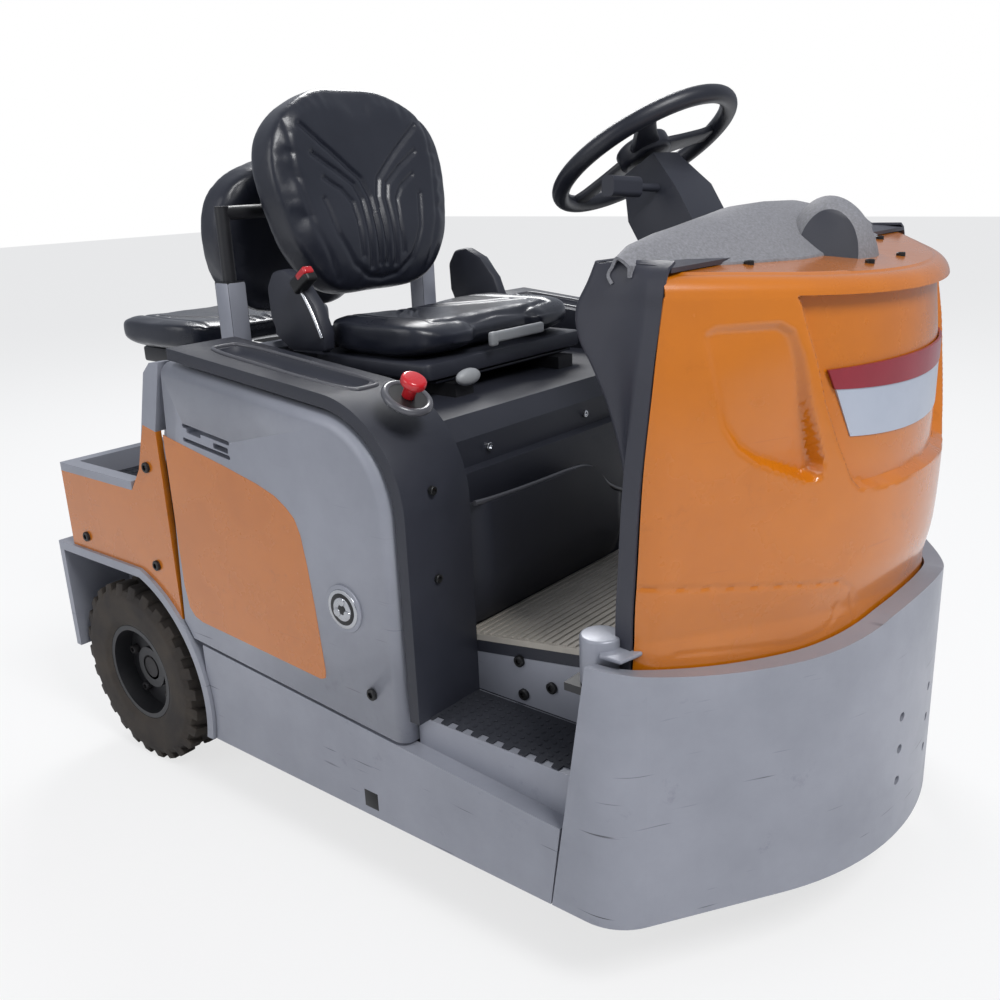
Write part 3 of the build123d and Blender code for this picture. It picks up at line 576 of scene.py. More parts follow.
# How far the wall stands inside the bumper's plan, and where its rear seam runs, at each height
cowlInset = ((0.546, 0.034), (0.61, 0.023), (0.75, 0.019), (0.88, 0.022), (0.97, 0.030), (1.06, 0.034))
cowlSeam = ((0.48, -0.650), (0.56, -0.655), (0.64, -0.661), (0.76, -0.668), (0.88, -0.678), (1.04, -0.686))

# Recesses and lines in the wall, as outlines of distance from the middle and height
cowlForms = {
    "panelDeep": 0.018, "panelWall": 0.010, "lampLeast": 0.003, "lampMore": 0.021, "lampWall": 0.011,
    "lampEndX": 0.385, "lampFadeX": 0.12, "lampTopZ": 0.99, "lampFadeZ": 0.2, "lampTopShare": 0.25,
    "inside": 0.003, "near": -0.02, "flapWide": 0.004, "flapDeep": 0.0022, "innerWide": 0.005,
    "innerDeep": 0.001,
    "panel": [(0.266, 0.992), (0.258, 0.976), (0.252, 0.945), (0.243, 0.908), (0.231, 0.850),
              (0.212, 0.796), (0.186, 0.740), (0.172, 0.726), (0.150, 0.722), (0.107, 0.719),
              (0.0, 0.722), (-0.1, 0.722), (-0.1, 0.992)],
    "lamp": [(0.374, 0.950), (0.360, 0.958), (0.284, 0.956), (0.268, 0.944), (0.259, 0.910),
             (0.250, 0.844), (0.232, 0.772), (0.236, 0.752), (0.250, 0.749), (0.284, 0.766),
             (0.314, 0.782), (0.337, 0.802), (0.354, 0.832), (0.367, 0.890)],
    "flap": [(0.436, 0.631), (0.187, 0.592), (0.162, 0.575), (0.143, 0.520)],
    "inner": [(0.181, 0.556), (0.184, 0.535), (0.200, 0.518), (0.241, 0.510), (0.391, 0.526)],
}


def planPoint(run, inset, side, corner):
    # Walks the plan from the nose: round nose, straight flank, round corner, straight side.
    sign = -1 if run < 0 else 1
    run = abs(run)
    angle, centreY = nosePlan["angle"], nosePlan["centreY"]
    radius = nosePlan["radius"] - inset
    arc = radius * angle
    straight = ((side - radius * math.sin(angle)) / math.cos(angle)
                - corner * math.tan((math.pi / 2 - angle) / 2))
    bend = corner * (math.pi / 2 - angle)
    if run <= arc:
        turn = run / radius
        return radius * math.sin(turn) * sign, centreY - radius * math.cos(turn), turn * sign
    step = min(run - arc, straight)
    x = radius * math.sin(angle) + step * math.cos(angle)
    y = centreY - radius * math.cos(angle) + step * math.sin(angle)
    turn = angle
    if run > arc + straight:
        x -= corner * math.sin(turn)
        y += corner * math.cos(turn)
        turn += min(run - arc - straight, bend) / corner
        x += corner * math.sin(turn)
        y -= corner * math.cos(turn)
        y += max(0, run - arc - straight - bend)
    return x * sign, y, turn * sign


def roofHeight(y):
    return cowl["roofHigh"] + (y - cowl["roofFromY"]) * cowl["roofSlope"]


def seamRun(z, inset):
    # Finds by halving how far along the plan the cowl's rear seam lies at height z.
    target = ramp(z, cowlSeam)
    low, high = 0.1, 0.75
    for _ in range(24):
        middle = (low + high) / 2
        if planPoint(middle, inset, cowl["side"], cowl["corner"])[1] < target:
            low = middle
        else:
            high = middle
    return low


def lampDepth(reach, z):
    # The lamp recess is deep at its inner lower end and runs out at its outer upper one.
    outwards = min(1, max(0, (cowlForms["lampEndX"] - reach) / cowlForms["lampFadeX"]))
    upwards = min(1, max(cowlForms["lampTopShare"], (cowlForms["lampTopZ"] - z) / cowlForms["lampFadeZ"]))
    return cowlForms["lampLeast"] + cowlForms["lampMore"] * (outwards * upwards)


def creaseDepth(reach, z, line, width, deep):
    distance = lineDistance(reach, z, line)
    return deep * (1 - distance / width) if distance < width else 0.0


def cowlDent(reach, z):
    forms, dent = cowlForms, 0.0
    panel = sideDistance(reach, z, forms["panel"])
    if panel > forms["near"]:
        dent += forms["panelDeep"] * easeIn(panel - forms["inside"], forms["panelWall"])
    lamp = sideDistance(reach, z, forms["lamp"])
    if lamp > forms["near"]:
        dent += lampDepth(reach, z) * easeIn(lamp - forms["inside"], forms["lampWall"])
    dent += creaseDepth(reach, z, forms["flap"], forms["flapWide"], forms["flapDeep"])
    dent += creaseDepth(reach, z, forms["inner"], forms["innerWide"], forms["innerDeep"])
    return dent


def cowlPoint(across, up):
    # The wall goes up to wallShare, its rounded top edge to bendShare, and the roof runs back from there.
    wallShare, bendShare, bendRadius = cowl["wallShare"], cowl["bendShare"], cowl["roofRound"]
    z = cowl["seamTop"]
    if up <= wallShare:
        z = cowl["low"] + up / wallShare * (cowl["wallTop"] - cowl["low"])
    inset = ramp(z, cowlInset)
    run = (2 * across - 1) * seamRun(z, inset)
    x, y, turn = planPoint(run, inset, cowl["side"], cowl["corner"])
    top = roofHeight(y)
    if up <= wallShare:
        z = cowl["low"] + up / wallShare * (top - bendRadius - cowl["low"])
        dent = cowlDent(abs(x), z)
        return x - dent * math.sin(turn), y + dent * math.cos(turn), z
    if up <= bendShare:
        bend = (up - wallShare) / (bendShare - wallShare) * math.pi / 2
        inward = bendRadius * (1 - math.cos(bend))
        rise = top - bendRadius + bendRadius * math.sin(bend)
        return x - inward * math.sin(turn), y + inward * math.cos(turn), rise
    share = (up - bendShare) / (1 - bendShare)
    x -= bendRadius * math.sin(turn)
    y += bendRadius * math.cos(turn)
    endY = max(y, cowl["roofEndY"])
    x, y = x * (1 - cowl["roofNarrow"] * share), y + (endY - y) * share
    return x, y, roofHeight(y)


cowlSkin = placeGrid("cowlSkin", int(cowl["across"] * detail), int(cowl["up"] * detail), cowlPoint)
applyModifier(cowlSkin, "SOLIDIFY", thickness=cowl["thick"],
              offset=1 if cowlSkin.data.polygons[0].normal.y > 0 else -1)
finishPiece(cowlSkin, orangePaint, "chassis", 40, replaces=["front_cowl"])
print("cowl made")

# Dark cover behind the cowl: flanks that taper in, hollow rear face, middle housing

coverForm = {
    "top": 1.034, "overlap": 0.001, "tuckFrom": 0.985, "tuckHigh": 0.049, "tuckIn": 0.026,
    "flankShare": 0.74, "faceShare": 0.66, "lipShare": 0.35, "lipIn": 0.004, "lipGap": 0.003,
    "lipLong": 0.026, "flankX": 0.392, "edge": 0.008, "edgeDeep": 0.010, "flankBow": 0.006,
    "hollow": 0.0048, "hollowWide": 0.12, "housing": 0.034, "housingX": 0.27, "housingTop": 0.90,
    "housingFade": 0.2, "thick": 0.004, "across": 200, "up": 90,
}
coverBack = ((0.48, -0.598), (0.56, -0.602), (0.62, -0.613), (0.69, -0.622), (0.78, -0.612), (0.855, -0.590),
             (0.905, -0.566), (0.94, -0.546), (0.975, -0.543), (1.01, -0.562), (1.037, -0.575))
coverCap = {"halfWidth": 0.384, "flare": 0.03, "frontY": -0.682, "long": 0.104, "high": 1.0335,
            "droop": 0.012, "droopShare": 0.3, "thick": 0.006, "across": 40, "up": 8}


def coverPoint(across, up):
    # From the seam inwards: a lip on the cowl, the tapering flank, a round edge, the hollow rear face.
    form = coverForm
    side = 2 * across - 1
    sign = -1 if side < 0 else 1
    reach = abs(side)
    z = cowl["low"] + up * (form["top"] - cowl["low"])
    inset = ramp(min(z, cowl["seamTop"]), cowlInset) + form["overlap"]
    seam = seamRun(min(z, cowl["seamTop"]), inset)
    seamX, seamY, _ = planPoint(seam, inset, cowl["side"], cowl["corner"])
    backY = ramp(z, coverBack)
    if z > form["tuckFrom"]:
        tuck = (z - form["tuckFrom"]) / form["tuckHigh"]
        seamX -= form["tuckIn"] * (1 - math.sqrt(max(0, 1 - tuck * tuck)))
    flankX, edge, edgeDeep = form["flankX"], form["edge"], form["edgeDeep"]
    if reach > form["flankShare"]:
        share = (1 - reach) / (1 - form["flankShare"])
        if share < form["lipShare"]:
            part = share / form["lipShare"]
            return sign * (seamX - form["lipIn"] * part), seamY + form["lipGap"] + part * form["lipLong"], z
        part = (share - form["lipShare"]) / (1 - form["lipShare"])
        startX, startY = seamX - form["lipIn"], seamY + (form["lipGap"] + form["lipLong"])
        x = startX + (flankX + edge - startX) * part - form["flankBow"] * math.sin(math.pi * part)
        return sign * x, startY + (backY - edgeDeep - startY) * part, z
    if reach > form["faceShare"]:
        turn = (form["flankShare"] - reach) / (form["flankShare"] - form["faceShare"]) * math.pi / 2
        x = flankX - edge + 2 * edge * math.cos(turn)
        return sign * x, backY - edgeDeep + edgeDeep * math.sin(turn), z
    x = reach / form["faceShare"] * (flankX - edge)
    hollow = form["hollow"] * math.sin(math.pi * min(1, (flankX - x) / form["hollowWide"]))
    housing = (form["housing"] * easeIn(form["housingX"] - x, form["hollowWide"])
               * easeIn(form["housingTop"] - z, form["housingFade"]))
    return sign * x, backY - hollow + housing, z


def roofCap(across, up):
    x = (2 * across - 1) * coverCap["halfWidth"]
    return (x * (1 + coverCap["flare"] * (1 - up)), coverCap["frontY"] + up * coverCap["long"],
            coverCap["high"] - coverCap["droop"] * max(0, coverCap["droopShare"] - up))


def closedGrid(name, columns, rows, place, thick):
    piece = placeGrid(name, columns, rows, place)
    applyModifier(piece, "SOLIDIFY", thickness=thick, offset=-1)
    return closeUp(piece, merge["grid"])


coverSkin = closedGrid("coverSkin", int(coverForm["across"] * detail), int(coverForm["up"] * detail),
                       coverPoint, coverForm["thick"])
coverRoof = closedGrid("coverRoof", coverCap["across"], coverCap["up"], roofCap, coverCap["thick"])
finishPiece(joinPieces("cowlCover", [coverSkin, coverRoof]), coverPlastic, "chassis", 35,
            replaces=["cowl_rear_cover"])

# Dash: humped plate with a creased front edge and a lip towards the driver

dash = {
    "halfWidth": 0.402, "thick": 0.004, "across": 160, "up": 60, "foot": 0.012, "footRise": 0.014,
    "footShare": 0.06, "creaseShare": 0.66, "lipShare": 0.88, "creaseAt": 0.72, "humpPower": 1.15,
    "fall": 0.012, "fallPower": 1.5, "lipRound": 0.006, "lipFrom": 0.010, "lipEnd": 1.018, "proud": 0.002,
    "front": ((0.0, -0.728), (0.12, -0.724), (0.25, -0.690), (0.396, -0.628)),
    "rear": ((0.0, -0.560), (0.2, -0.563), (0.3, -0.577), (0.405, -0.600)),
    "high": ((0.0, 1.088), (0.09, 1.086), (0.2, 1.072), (0.3, 1.062), (0.37, 1.052), (0.40, 1.040)),
}


def straightRamp(value, rows):
    # As ramp, but with straight lines between the rows.
    for (a, low), (b, high) in zip(rows, rows[1:]):
        if value <= b:
            return low + (high - low) * max(0, value - a) / (b - a)
    return rows[-1][1]


def dashPoint(across, up):
    # From the cowl's roof: a short foot, the rising hump, a crease, and the lip down to the driver.
    x = (2 * across - 1) * dash["halfWidth"]
    front, rear, high = (straightRamp(abs(x), dash[edge]) for edge in ("front", "rear", "high"))
    low = roofHeight(front) + 0.001
    crease = front + (rear - front) * dash["creaseAt"]
    if up < dash["footShare"]:
        return x, front, low - dash["foot"] + dash["footRise"] * up / dash["footShare"]
    if up < dash["creaseShare"]:
        share = (up - dash["footShare"]) / (dash["creaseShare"] - dash["footShare"])
        hump = math.sin(share * math.pi / 2) ** dash["humpPower"]
        return x, front + (crease - front) * share, low + dash["proud"] + (high - low) * hump
    if up < dash["lipShare"]:
        share = (up - dash["creaseShare"]) / (dash["lipShare"] - dash["creaseShare"])
        fall = dash["fall"] * share ** dash["fallPower"]
        return x, crease + (rear - crease) * share, high + dash["proud"] - fall
    share = (up - dash["lipShare"]) / (1 - dash["lipShare"])
    y = rear + dash["lipRound"] * math.sin(math.pi * share)
    return x, y, high - dash["lipFrom"] - share * (high - dash["lipEnd"])


dashTop = closedGrid("dashPlate", int(dash["across"] * detail), int(dash["up"] * detail), dashPoint,
                     dash["thick"])
finishPiece(dashTop, texturedPlastic, "chassis", 32, replaces=["dash_top"])

# Pod in front of the dash: rounded hood, cut to a face on the driver's right that is dark as painted shade

pod = {"centre": (0.004, -0.716, 1.006), "halfSize": (0.082, 0.062, 0.091), "narrow": 0.22, "lean": 0.010,
       "lowest": -0.05, "facePoint": (-0.030, -0.715, 1.094), "faceWay": (-0.86, -0.40, 0.33),
       "paintedShadeFaceArea": 0.0008}
podShell = addBall("podShell", 48, 32)
(x, y, z), (wide, deep, tall) = pod["centre"], pod["halfSize"]
for vertex in podShell.data.vertices:
    v = vertex.co
    high = max(v.z, pod["lowest"])
    vertex.co = (x + v.x * wide * (1 - pod["narrow"] * max(0, high)),
                 y + v.y * deep + pod["lean"] * max(0, high), z + high * tall)
applyPlace(podShell)
bpy.ops.object.mode_set(mode="EDIT")
bpy.ops.mesh.select_all(action="SELECT")
bpy.ops.mesh.bisect(plane_co=pod["facePoint"], plane_no=pod["faceWay"], use_fill=True, clear_outer=True)
bpy.ops.object.mode_set(mode="OBJECT")
finishPiece(podShell, texturedPlastic, "chassis", 32, replaces=["instrument_pod"])
# The large cut face gets the dark plastic as painted shade, in place of the hood's own textured plastic
# lying in shadow.
podShell.data.materials.append(darkPlastic)
for polygon in podShell.data.polygons:
    if polygon.area > pod["paintedShadeFaceArea"]:
        polygon.material_index = 1

# Blank badge with a crimson band on the cowl's middle, and the screws of its roof

noseSheets = {"inset": 0.0385, "side": 0.45, "corner": 0.07, "sag": 0.010, "thick": 0.004,
              "across": 48, "up": 6}


def noseSheet(name, rows, proud, material):
    # rows gives the lower and the upper edge: left end, right end and height of each.
    (lowLeft, lowRight, lowZ), (highLeft, highRight, highZ) = rows

    def place(across, up):
        left = lowLeft + (highLeft - lowLeft) * up
        right = lowRight + (highRight - lowRight) * up
        x, y, _ = planPoint(left + (right - left) * across, noseSheets["inset"] - proud,
                            noseSheets["side"], noseSheets["corner"])
        sag = noseSheets["sag"] * (1 - (2 * across - 1) ** 2) * (1 - up)
        return x, y, lowZ + (highZ - lowZ) * up - sag
    sheet = placeGrid(name, noseSheets["across"], noseSheets["up"], place)
    applyModifier(sheet, "SOLIDIFY", thickness=noseSheets["thick"], offset=0)
    finishPiece(closeUp(sheet, merge["plate"]), material, "chassis", 30)


noseSheet("badgePlate", ((-0.176, 0.176, 0.795), (-0.208, 0.208, 0.866)), 0.001, palePlate)
noseSheet("badgeBand", ((-0.209, 0.209, 0.8625), (-0.222, 0.222, 0.889)), 0.0022, crimsonBand)
roofScrews = {"Outer": (0.231, -0.700, 1.0215), "Inner": (0.060, -0.795, 1.011)}
screwForm = {"way": (0, 0.05, 1), "radius": 0.0065, "height": 0.003}
for side, label in sides:
    for end, (x, y, z) in roofScrews.items():
        screw = addBolt("roofScrew" + label + end, (side * x, y, z), screwForm["way"],
                        screwForm["radius"], screwForm["height"])
        finishPiece(screw, boltBlack, "chassis", 30)
print("cover, dash, pod and badge made")

# Corner plates, posts and nose bolts of the bumper

corner = {
    "plateZ": 0.532, "plateThick": 0.006, "post": (0.438, -0.603, 0.516), "postRadius": 0.029,
    "postHigh": 0.072, "bolt": (0.304, -0.7525, 0.430), "washer": (0.3035, -0.752, 0.430),
    "boltWay": (0.559, -0.829), "boltRadius": 0.011, "boltHeight": 0.003, "washerRadius": 0.0165,
    "washerThick": 0.0032, "washerEdge": 0.0008, "plateEdge": 0.002, "postEdge": 0.004,
    "plate": [(0.469, -0.655), (0.469, -0.622), (0.455, -0.612), (0.418, -0.612), (0.405, -0.622),
              (0.405, -0.645), (0.430, -0.664)],
}


def mirrored(point, side):
    return (side * point[0], *point[1:])


for side, label in sides:
    plate = addPlate("cornerPlate" + label, [mirrored(point, side) for point in corner["plate"]],
                     lambda a, b: (a, b, corner["plateZ"]), (0, 0, corner["plateThick"]),
                     corner["plateEdge"])
    finishPiece(plate, silverPaint, "chassis", 30)
    post = addDisc("cornerPost" + label, mirrored(corner["post"], side), corner["postRadius"],
                   corner["postHigh"], sides=48, bevel=corner["postEdge"], segments=3)
    finishPiece(post, silverPaint, "chassis", 40)
    way = (*mirrored(corner["boltWay"], side), 0)
    bolt = addBolt("noseBolt" + label, mirrored(corner["bolt"], side), way, corner["boltRadius"],
                   corner["boltHeight"])
    finishPiece(bolt, boltBlack, "chassis", 30)
    washer = addDisc("noseWasher" + label, mirrored(corner["washer"], side), corner["washerRadius"],
                     corner["washerThick"], axis=way, bevel=corner["washerEdge"])
    finishPiece(washer, palePlate, "chassis", 30)
print("bumper fittings made")

# Doors: louvre slots cut through, orange field, lock and bolts

door = {
    "outX": 0.4984, "boltX": 0.4985, "boltRadius": 0.010, "bolt": (-0.206, 0.365), "fieldThick": 0.0012,
    "panelBolts": ((0.352, 0.654), (0.611, 0.470), (0.366, 0.460)), "cutX": 0.490, "cutDeep": 0.03,
    "cutLean": 7,
    "field": [(0.284, 0.724), (0.227, 0.713), (0.114, 0.692), (0.030, 0.674), (-0.012, 0.661),
              (-0.038, 0.646), (-0.056, 0.630), (-0.067, 0.605), (-0.076, 0.556), (-0.085, 0.486),
              (-0.096, 0.372), (-0.094, 0.360), (-0.082, 0.355), (0.123, 0.368), (0.240, 0.375),
              (0.262, 0.381), (0.276, 0.396), (0.284, 0.440)],
}

# Each louvre cut's middle and height, its length and thickness, and the radius of its edges
louvreCuts = ((0.157, 0.741, 0.130, 0.0075, 0.0035), (0.159, 0.716, 0.130, 0.0075, 0.0035),
              (0.190, 0.739, 0.040, 0.010, 0.003), (0.118, 0.722, 0.040, 0.010, 0.003))

# The lock's rings: radius, thickness, how far out the middle stands, and finish
lockRings = ((0.040, 0.004, 0.4990, silverPaint), (0.033, 0.006, 0.4995, brightSteel),
             (0.027, 0.008, 0.4990, boltBlack), (0.020, 0.0088, 0.4992, brightSteel),
             (0.009, 0.0096, 0.4994, boltBlack))
lock = {"y": -0.157, "z": 0.500, "edge": 0.0012, "lobeX": 0.4998, "lobeAngles": (90, 210, 330),
        "lobeReach": 0.0135, "lobeRadius": 0.0075, "lobeThick": 0.010, "lobeEdge": 0.001}
skirtSocket = {"outline": [(-0.196, 0.145), (-0.164, 0.145), (-0.164, 0.177), (-0.196, 0.177)],
               "thick": 0.004, "edge": 0.001}


def addSidePlate(name, outline, x, thick, bevel=0.0):
    # A plate that faces sideways at x and is thick towards the middle.
    inwards = thick if x < 0 else -thick
    return addPlate(name, outline, lambda a, b: (x, a, b), (inwards, 0, 0), bevel)


def makeLock(side, label, body):
    for radius, thick, out, finish in lockRings:
        ring = addDisc("lockRing" + label + str(int(radius * 1000)), (side * out, lock["y"], lock["z"]),
                       radius, thick, axis=(1, 0, 0), sides=64, bevel=lock["edge"], segments=3)
        finishPiece(ring, finish, body, 40)
    for angle in lock["lobeAngles"]:
        turn = math.radians(angle)
        place = (side * lock["lobeX"], lock["y"] + lock["lobeReach"] * math.cos(turn),
                 lock["z"] + lock["lobeReach"] * math.sin(turn))
        lobe = addDisc("lockLobe" + label + str(angle), place, lock["lobeRadius"], lock["lobeThick"],
                       axis=(1, 0, 0), sides=24, bevel=lock["lobeEdge"])
        finishPiece(lobe, brightSteel, body, 40)


for side, label in sides:
    body = "door_" + label.lower()
    shell = closeUp(copyNode("doorShell" + label, "side_" + body), merge["node"])
    for y, z, length, thick, edge in louvreCuts:
        cutter = addCube("louvreCutter", (side * door["cutX"], y, z), (door["cutDeep"], length, thick),
                         edge, 3, turn=(math.radians(door["cutLean"]), 0, 0))
        cutAway(shell, cutter)
    finishPiece(shell, silverPaint, body, 40, replaces=["side_" + body])
    field = addSidePlate("doorField" + label, door["field"], side * door["outX"], door["fieldThick"])
    finishPiece(field, orangePaint, body, 30)
    makeLock(side, label, body)
    bolt = addBolt("doorBolt" + label, (side * door["boltX"], *door["bolt"]), (side, 0, 0),
                   door["boltRadius"])
    finishPiece(bolt, boltBlack, body, 30)
    for row, place in enumerate(door["panelBolts"]):
        bolt = addBolt("panelBolt" + label + str(row), (side * door["boltX"], *place), (side, 0, 0),
                       door["boltRadius"])
        finishPiece(bolt, boltBlack, "chassis", 30)
    socket = addSidePlate("skirtSocket" + label, skirtSocket["outline"], side * door["outX"],
                          skirtSocket["thick"], skirtSocket["edge"])
    finishPiece(socket, boltBlack, "chassis", 30)
print("doors made")

# Side covers: rounded edges and a long tray in the top, a round well for the stop button

sideCover = {
    "topZ": 0.798, "topFromY": -0.272, "rise": 0.055, "length": 0.534, "padding": 0.026, "edge": 0.007,
    "edgeAngle": 48, "trayX": 0.412, "trayY": 0.020, "trayLift": 0.012, "traySize": (0.062, 0.34, 0.052),
    "trayEdge": 0.028, "rimHalfSize": (0.036, 0.178), "rimPower": (0.35, 0.6), "rimSteps": 48,
    "rimLift": 0.001, "rimRadius": 0.004, "boltRadius": 0.007, "boltHeight": 0.003,
    "bolts": ((0.430, -0.2995, 0.560), (0.430, -0.2995, 0.700)),
}
stop = {
    "way": (0, -0.5, 0.86), "base": (-0.430, -0.262, 0.838), "sink": 0.004, "rimRadius": 0.034,
    "rimThick": 0.006, "rimLean": 30, "wellRadius": 0.032, "wellThick": 0.006, "wellUp": 0.001,
    "stemRadius": 0.010, "stemLong": 0.026, "stemUp": 0.012, "headRadius": 0.0195, "headThick": 0.015,
    "headUp": 0.030, "headEdge": 0.005,
}


def coverTop(y):
    # Height of the side cover's top face.
    slope = sideCover["rise"] / sideCover["length"]
    return sideCover["topZ"] + (y - sideCover["topFromY"]) * slope + sideCover["padding"]


def trayRimLine(side):
    # A rounded rectangle that follows the sloping top, as a superellipse.
    line = []
    for step in range(sideCover["rimSteps"] + 1):
        turn = 2 * math.pi * step / sideCover["rimSteps"]
        a, b = (math.copysign(abs(wave) ** power, wave) * half for wave, power, half in
                zip((math.cos(turn), math.sin(turn)), sideCover["rimPower"], sideCover["rimHalfSize"]))
        y = sideCover["trayY"] + b
        line.append((side * sideCover["trayX"] + a, y, coverTop(y) + sideCover["rimLift"]))
    return line


for side, label in sides:
    node = "side_cover_" + label.lower()
    shell = closeUp(copyNode("sideCoverShell" + label, node), merge["node"])
    trayPlace = (side * sideCover["trayX"], sideCover["trayY"],
                 coverTop(sideCover["trayY"]) + sideCover["trayLift"])
    lean = math.atan2(sideCover["rise"], sideCover["length"])
    cutAway(shell, addCube("trayCutter", trayPlace, sideCover["traySize"], sideCover["trayEdge"], 6,
                           turn=(lean, 0, 0)))
    applyModifier(shell, "BEVEL", width=sideCover["edge"], segments=3, limit_method="ANGLE",
                  angle_limit=math.radians(sideCover["edgeAngle"]))
    finishPiece(shell, darkPlastic, "chassis", 40, replaces=[node])
    rim = addTube("trayRim" + label, trayRimLine(side), sideCover["rimRadius"])
    finishPiece(rim, rimPlastic, "chassis", 50)
    for row, place in enumerate(sideCover["bolts"]):
        bolt = addBolt("coverBolt" + label + str(row), mirrored(place, side), (0, -1, 0),
                       sideCover["boltRadius"], sideCover["boltHeight"])
        finishPiece(bolt, boltBlack, "chassis", 30)

stopWay = Vector(stop["way"]).normalized()
stopBase = Vector(stop["base"]) - stopWay * stop["sink"]
wellRim = addRing("stopWellRim", stopBase, stop["rimRadius"], stop["rimThick"],
                  (math.radians(stop["rimLean"]), 0, 0), 64, 16)
finishPiece(wellRim, rimPlastic, "chassis", 50)
well = addDisc("stopWell", stopBase + stopWay * stop["wellUp"], stop["wellRadius"], stop["wellThick"],
               axis=stopWay, sides=64)
finishPiece(well, boltBlack, "chassis", 40)
stem = addDisc("stopStem", stopBase + stopWay * stop["stemUp"], stop["stemRadius"], stop["stemLong"],
               axis=stopWay)
head = addDisc("stopHead", stopBase + stopWay * stop["headUp"], stop["headRadius"], stop["headThick"],
               axis=stopWay, sides=64, bevel=stop["headEdge"], segments=4)
finishPiece(joinPieces("stopKnob", [stem, head]), redPlastic, "chassis", 40, replaces=["stop_button"])
print("side covers made")

# Footwell: ribbed mat, silver risers with bolts, studded steps with toothed edges, hood bolts

mat = {"ribs": 19, "firstY": -0.275, "pitch": 0.0152, "fromY": -0.266, "fromZ": 0.4305, "slope": 0.1405,
       "lean": -8, "ribSize": (0.684, 0.0072, 0.004), "edge": 0.0015}
riser = {"x": 0.3475, "boltX": 0.348, "thick": 0.0015, "boltRadius": 0.0095,
         "outline": [(-0.270, 0.338), (-0.562, 0.338), (-0.562, 0.442), (-0.270, 0.400)],
         "bolts": ((-0.386, 0.412), (-0.449, 0.384), (-0.393, 0.356))}
tread = {"z": 0.3352, "thick": 0.0022, "innerX": 0.352, "rearY": -0.276, "frontY": -0.566, "edge": 0.0004,
        "teeth": 9, "toothY": -0.562, "toothPitch": 0.0305, "notch": 0.014, "toothGap": 0.003,
        "notchX": 0.4545, "toothX": 0.4665, "studsAcross": 6, "studsAlong": 17, "studFrom": (0.368, -0.550),
        "studPitch": (0.0155, 0.0162), "studZ": 0.3372, "studRadius": 0.0035, "studHigh": 0.003}
hoodBolts = {"across": (-0.239, 0.033, 0.239), "y": -0.2475, "z": 0.717, "radius": 0.007, "height": 0.003}


def addFlatPlate(name, outline, z, thick, bevel=0.0):
    return addPlate(name, outline, lambda a, b: (a, b, z), (0, 0, thick), bevel)


def stepOutline():
    points = [(tread["innerX"], tread["rearY"]), (tread["innerX"], tread["frontY"])]
    for tooth in range(tread["teeth"]):
        y = tread["toothY"] + tooth * tread["toothPitch"]
        points += [(tread["notchX"], y), (tread["notchX"], y + tread["notch"]),
                   (tread["toothX"], y + tread["notch"]),
                   (tread["toothX"], y + tread["toothPitch"] - tread["toothGap"])]
    return points


matRibs = []
for row in range(mat["ribs"]):
    y = mat["firstY"] - row * mat["pitch"]
    place = (0, y, mat["fromZ"] + (mat["fromY"] - y) * mat["slope"])
    matRibs.append(addCube("rib", place, mat["ribSize"], mat["edge"],
                           turn=(math.radians(mat["lean"]), 0, 0)))
finishPiece(joinPieces("matRibs", matRibs), matRubber, "chassis", 30)
for side, label in sides:
    plate = addSidePlate("riser" + label, riser["outline"], side * riser["x"], riser["thick"])
    finishPiece(plate, silverPaint, "chassis", 30)
    for row, place in enumerate(riser["bolts"]):
        bolt = addBolt("riserBolt" + label + str(row), (side * riser["boltX"], *place), (side, 0, 0),
                       riser["boltRadius"])
        finishPiece(bolt, boltBlack, "chassis", 30)
    stepPieces = [addFlatPlate("stepPad" + label, [mirrored(point, side) for point in stepOutline()],
                               tread["z"], tread["thick"], tread["edge"])]
    for across in range(tread["studsAcross"]):
        for along in range(tread["studsAlong"]):
            place = (side * (tread["studFrom"][0] + across * tread["studPitch"][0]),
                     tread["studFrom"][1] + along * tread["studPitch"][1], tread["studZ"])
            stepPieces.append(addDisc("stud", place, tread["studRadius"], tread["studHigh"], sides=8))
    finishPiece(joinPieces("stepPad" + label, stepPieces), stepRubber, "chassis", 30)
for row, x in enumerate(hoodBolts["across"]):
    bolt = addBolt("hoodBolt" + str(row), (x, hoodBolts["y"], hoodBolts["z"]), (0, -1, 0),
                   hoodBolts["radius"], hoodBolts["height"])
    finishPiece(bolt, brightSteel, "chassis", 30)

# Curved pocket in front of the battery hood, with a rolled lip

pocket = {
    "leftX": -0.334, "wide": 0.430, "low": 0.440, "backY": -0.263, "deep": 0.033, "thick": 0.005,
    "lipY": -0.2945, "lipUp": 0.001, "lipRadius": 0.0045, "across": 80, "up": 40,
    "bellyFrom": 0.12, "bellyRise": 1.6, "bellyFall": 1.9, "endLeast": 0.35, "endPower": 6,
    "fullness": 1.05,
    "top": ((-0.334, 0.652), (-0.300, 0.648), (-0.172, 0.644), (-0.045, 0.644), (0.000, 0.625),
            (0.043, 0.578), (0.096, 0.560)),
}


def pocketPoint(across, up):
    # The sheet bellies out from its foot and lies back at both ends.
    x = pocket["leftX"] + across * pocket["wide"]
    top = ramp(x, pocket["top"])
    rise = math.sin(math.pi * min(1, up * pocket["bellyRise"] + pocket["bellyFrom"]) / pocket["bellyFall"])
    ends = min(1, pocket["endLeast"] + (1 - abs(2 * across - 1) ** pocket["endPower"]))
    y = pocket["backY"] - pocket["deep"] * min(1, rise * ends * pocket["fullness"])
    return x, y, pocket["low"] + (top - pocket["low"]) * up


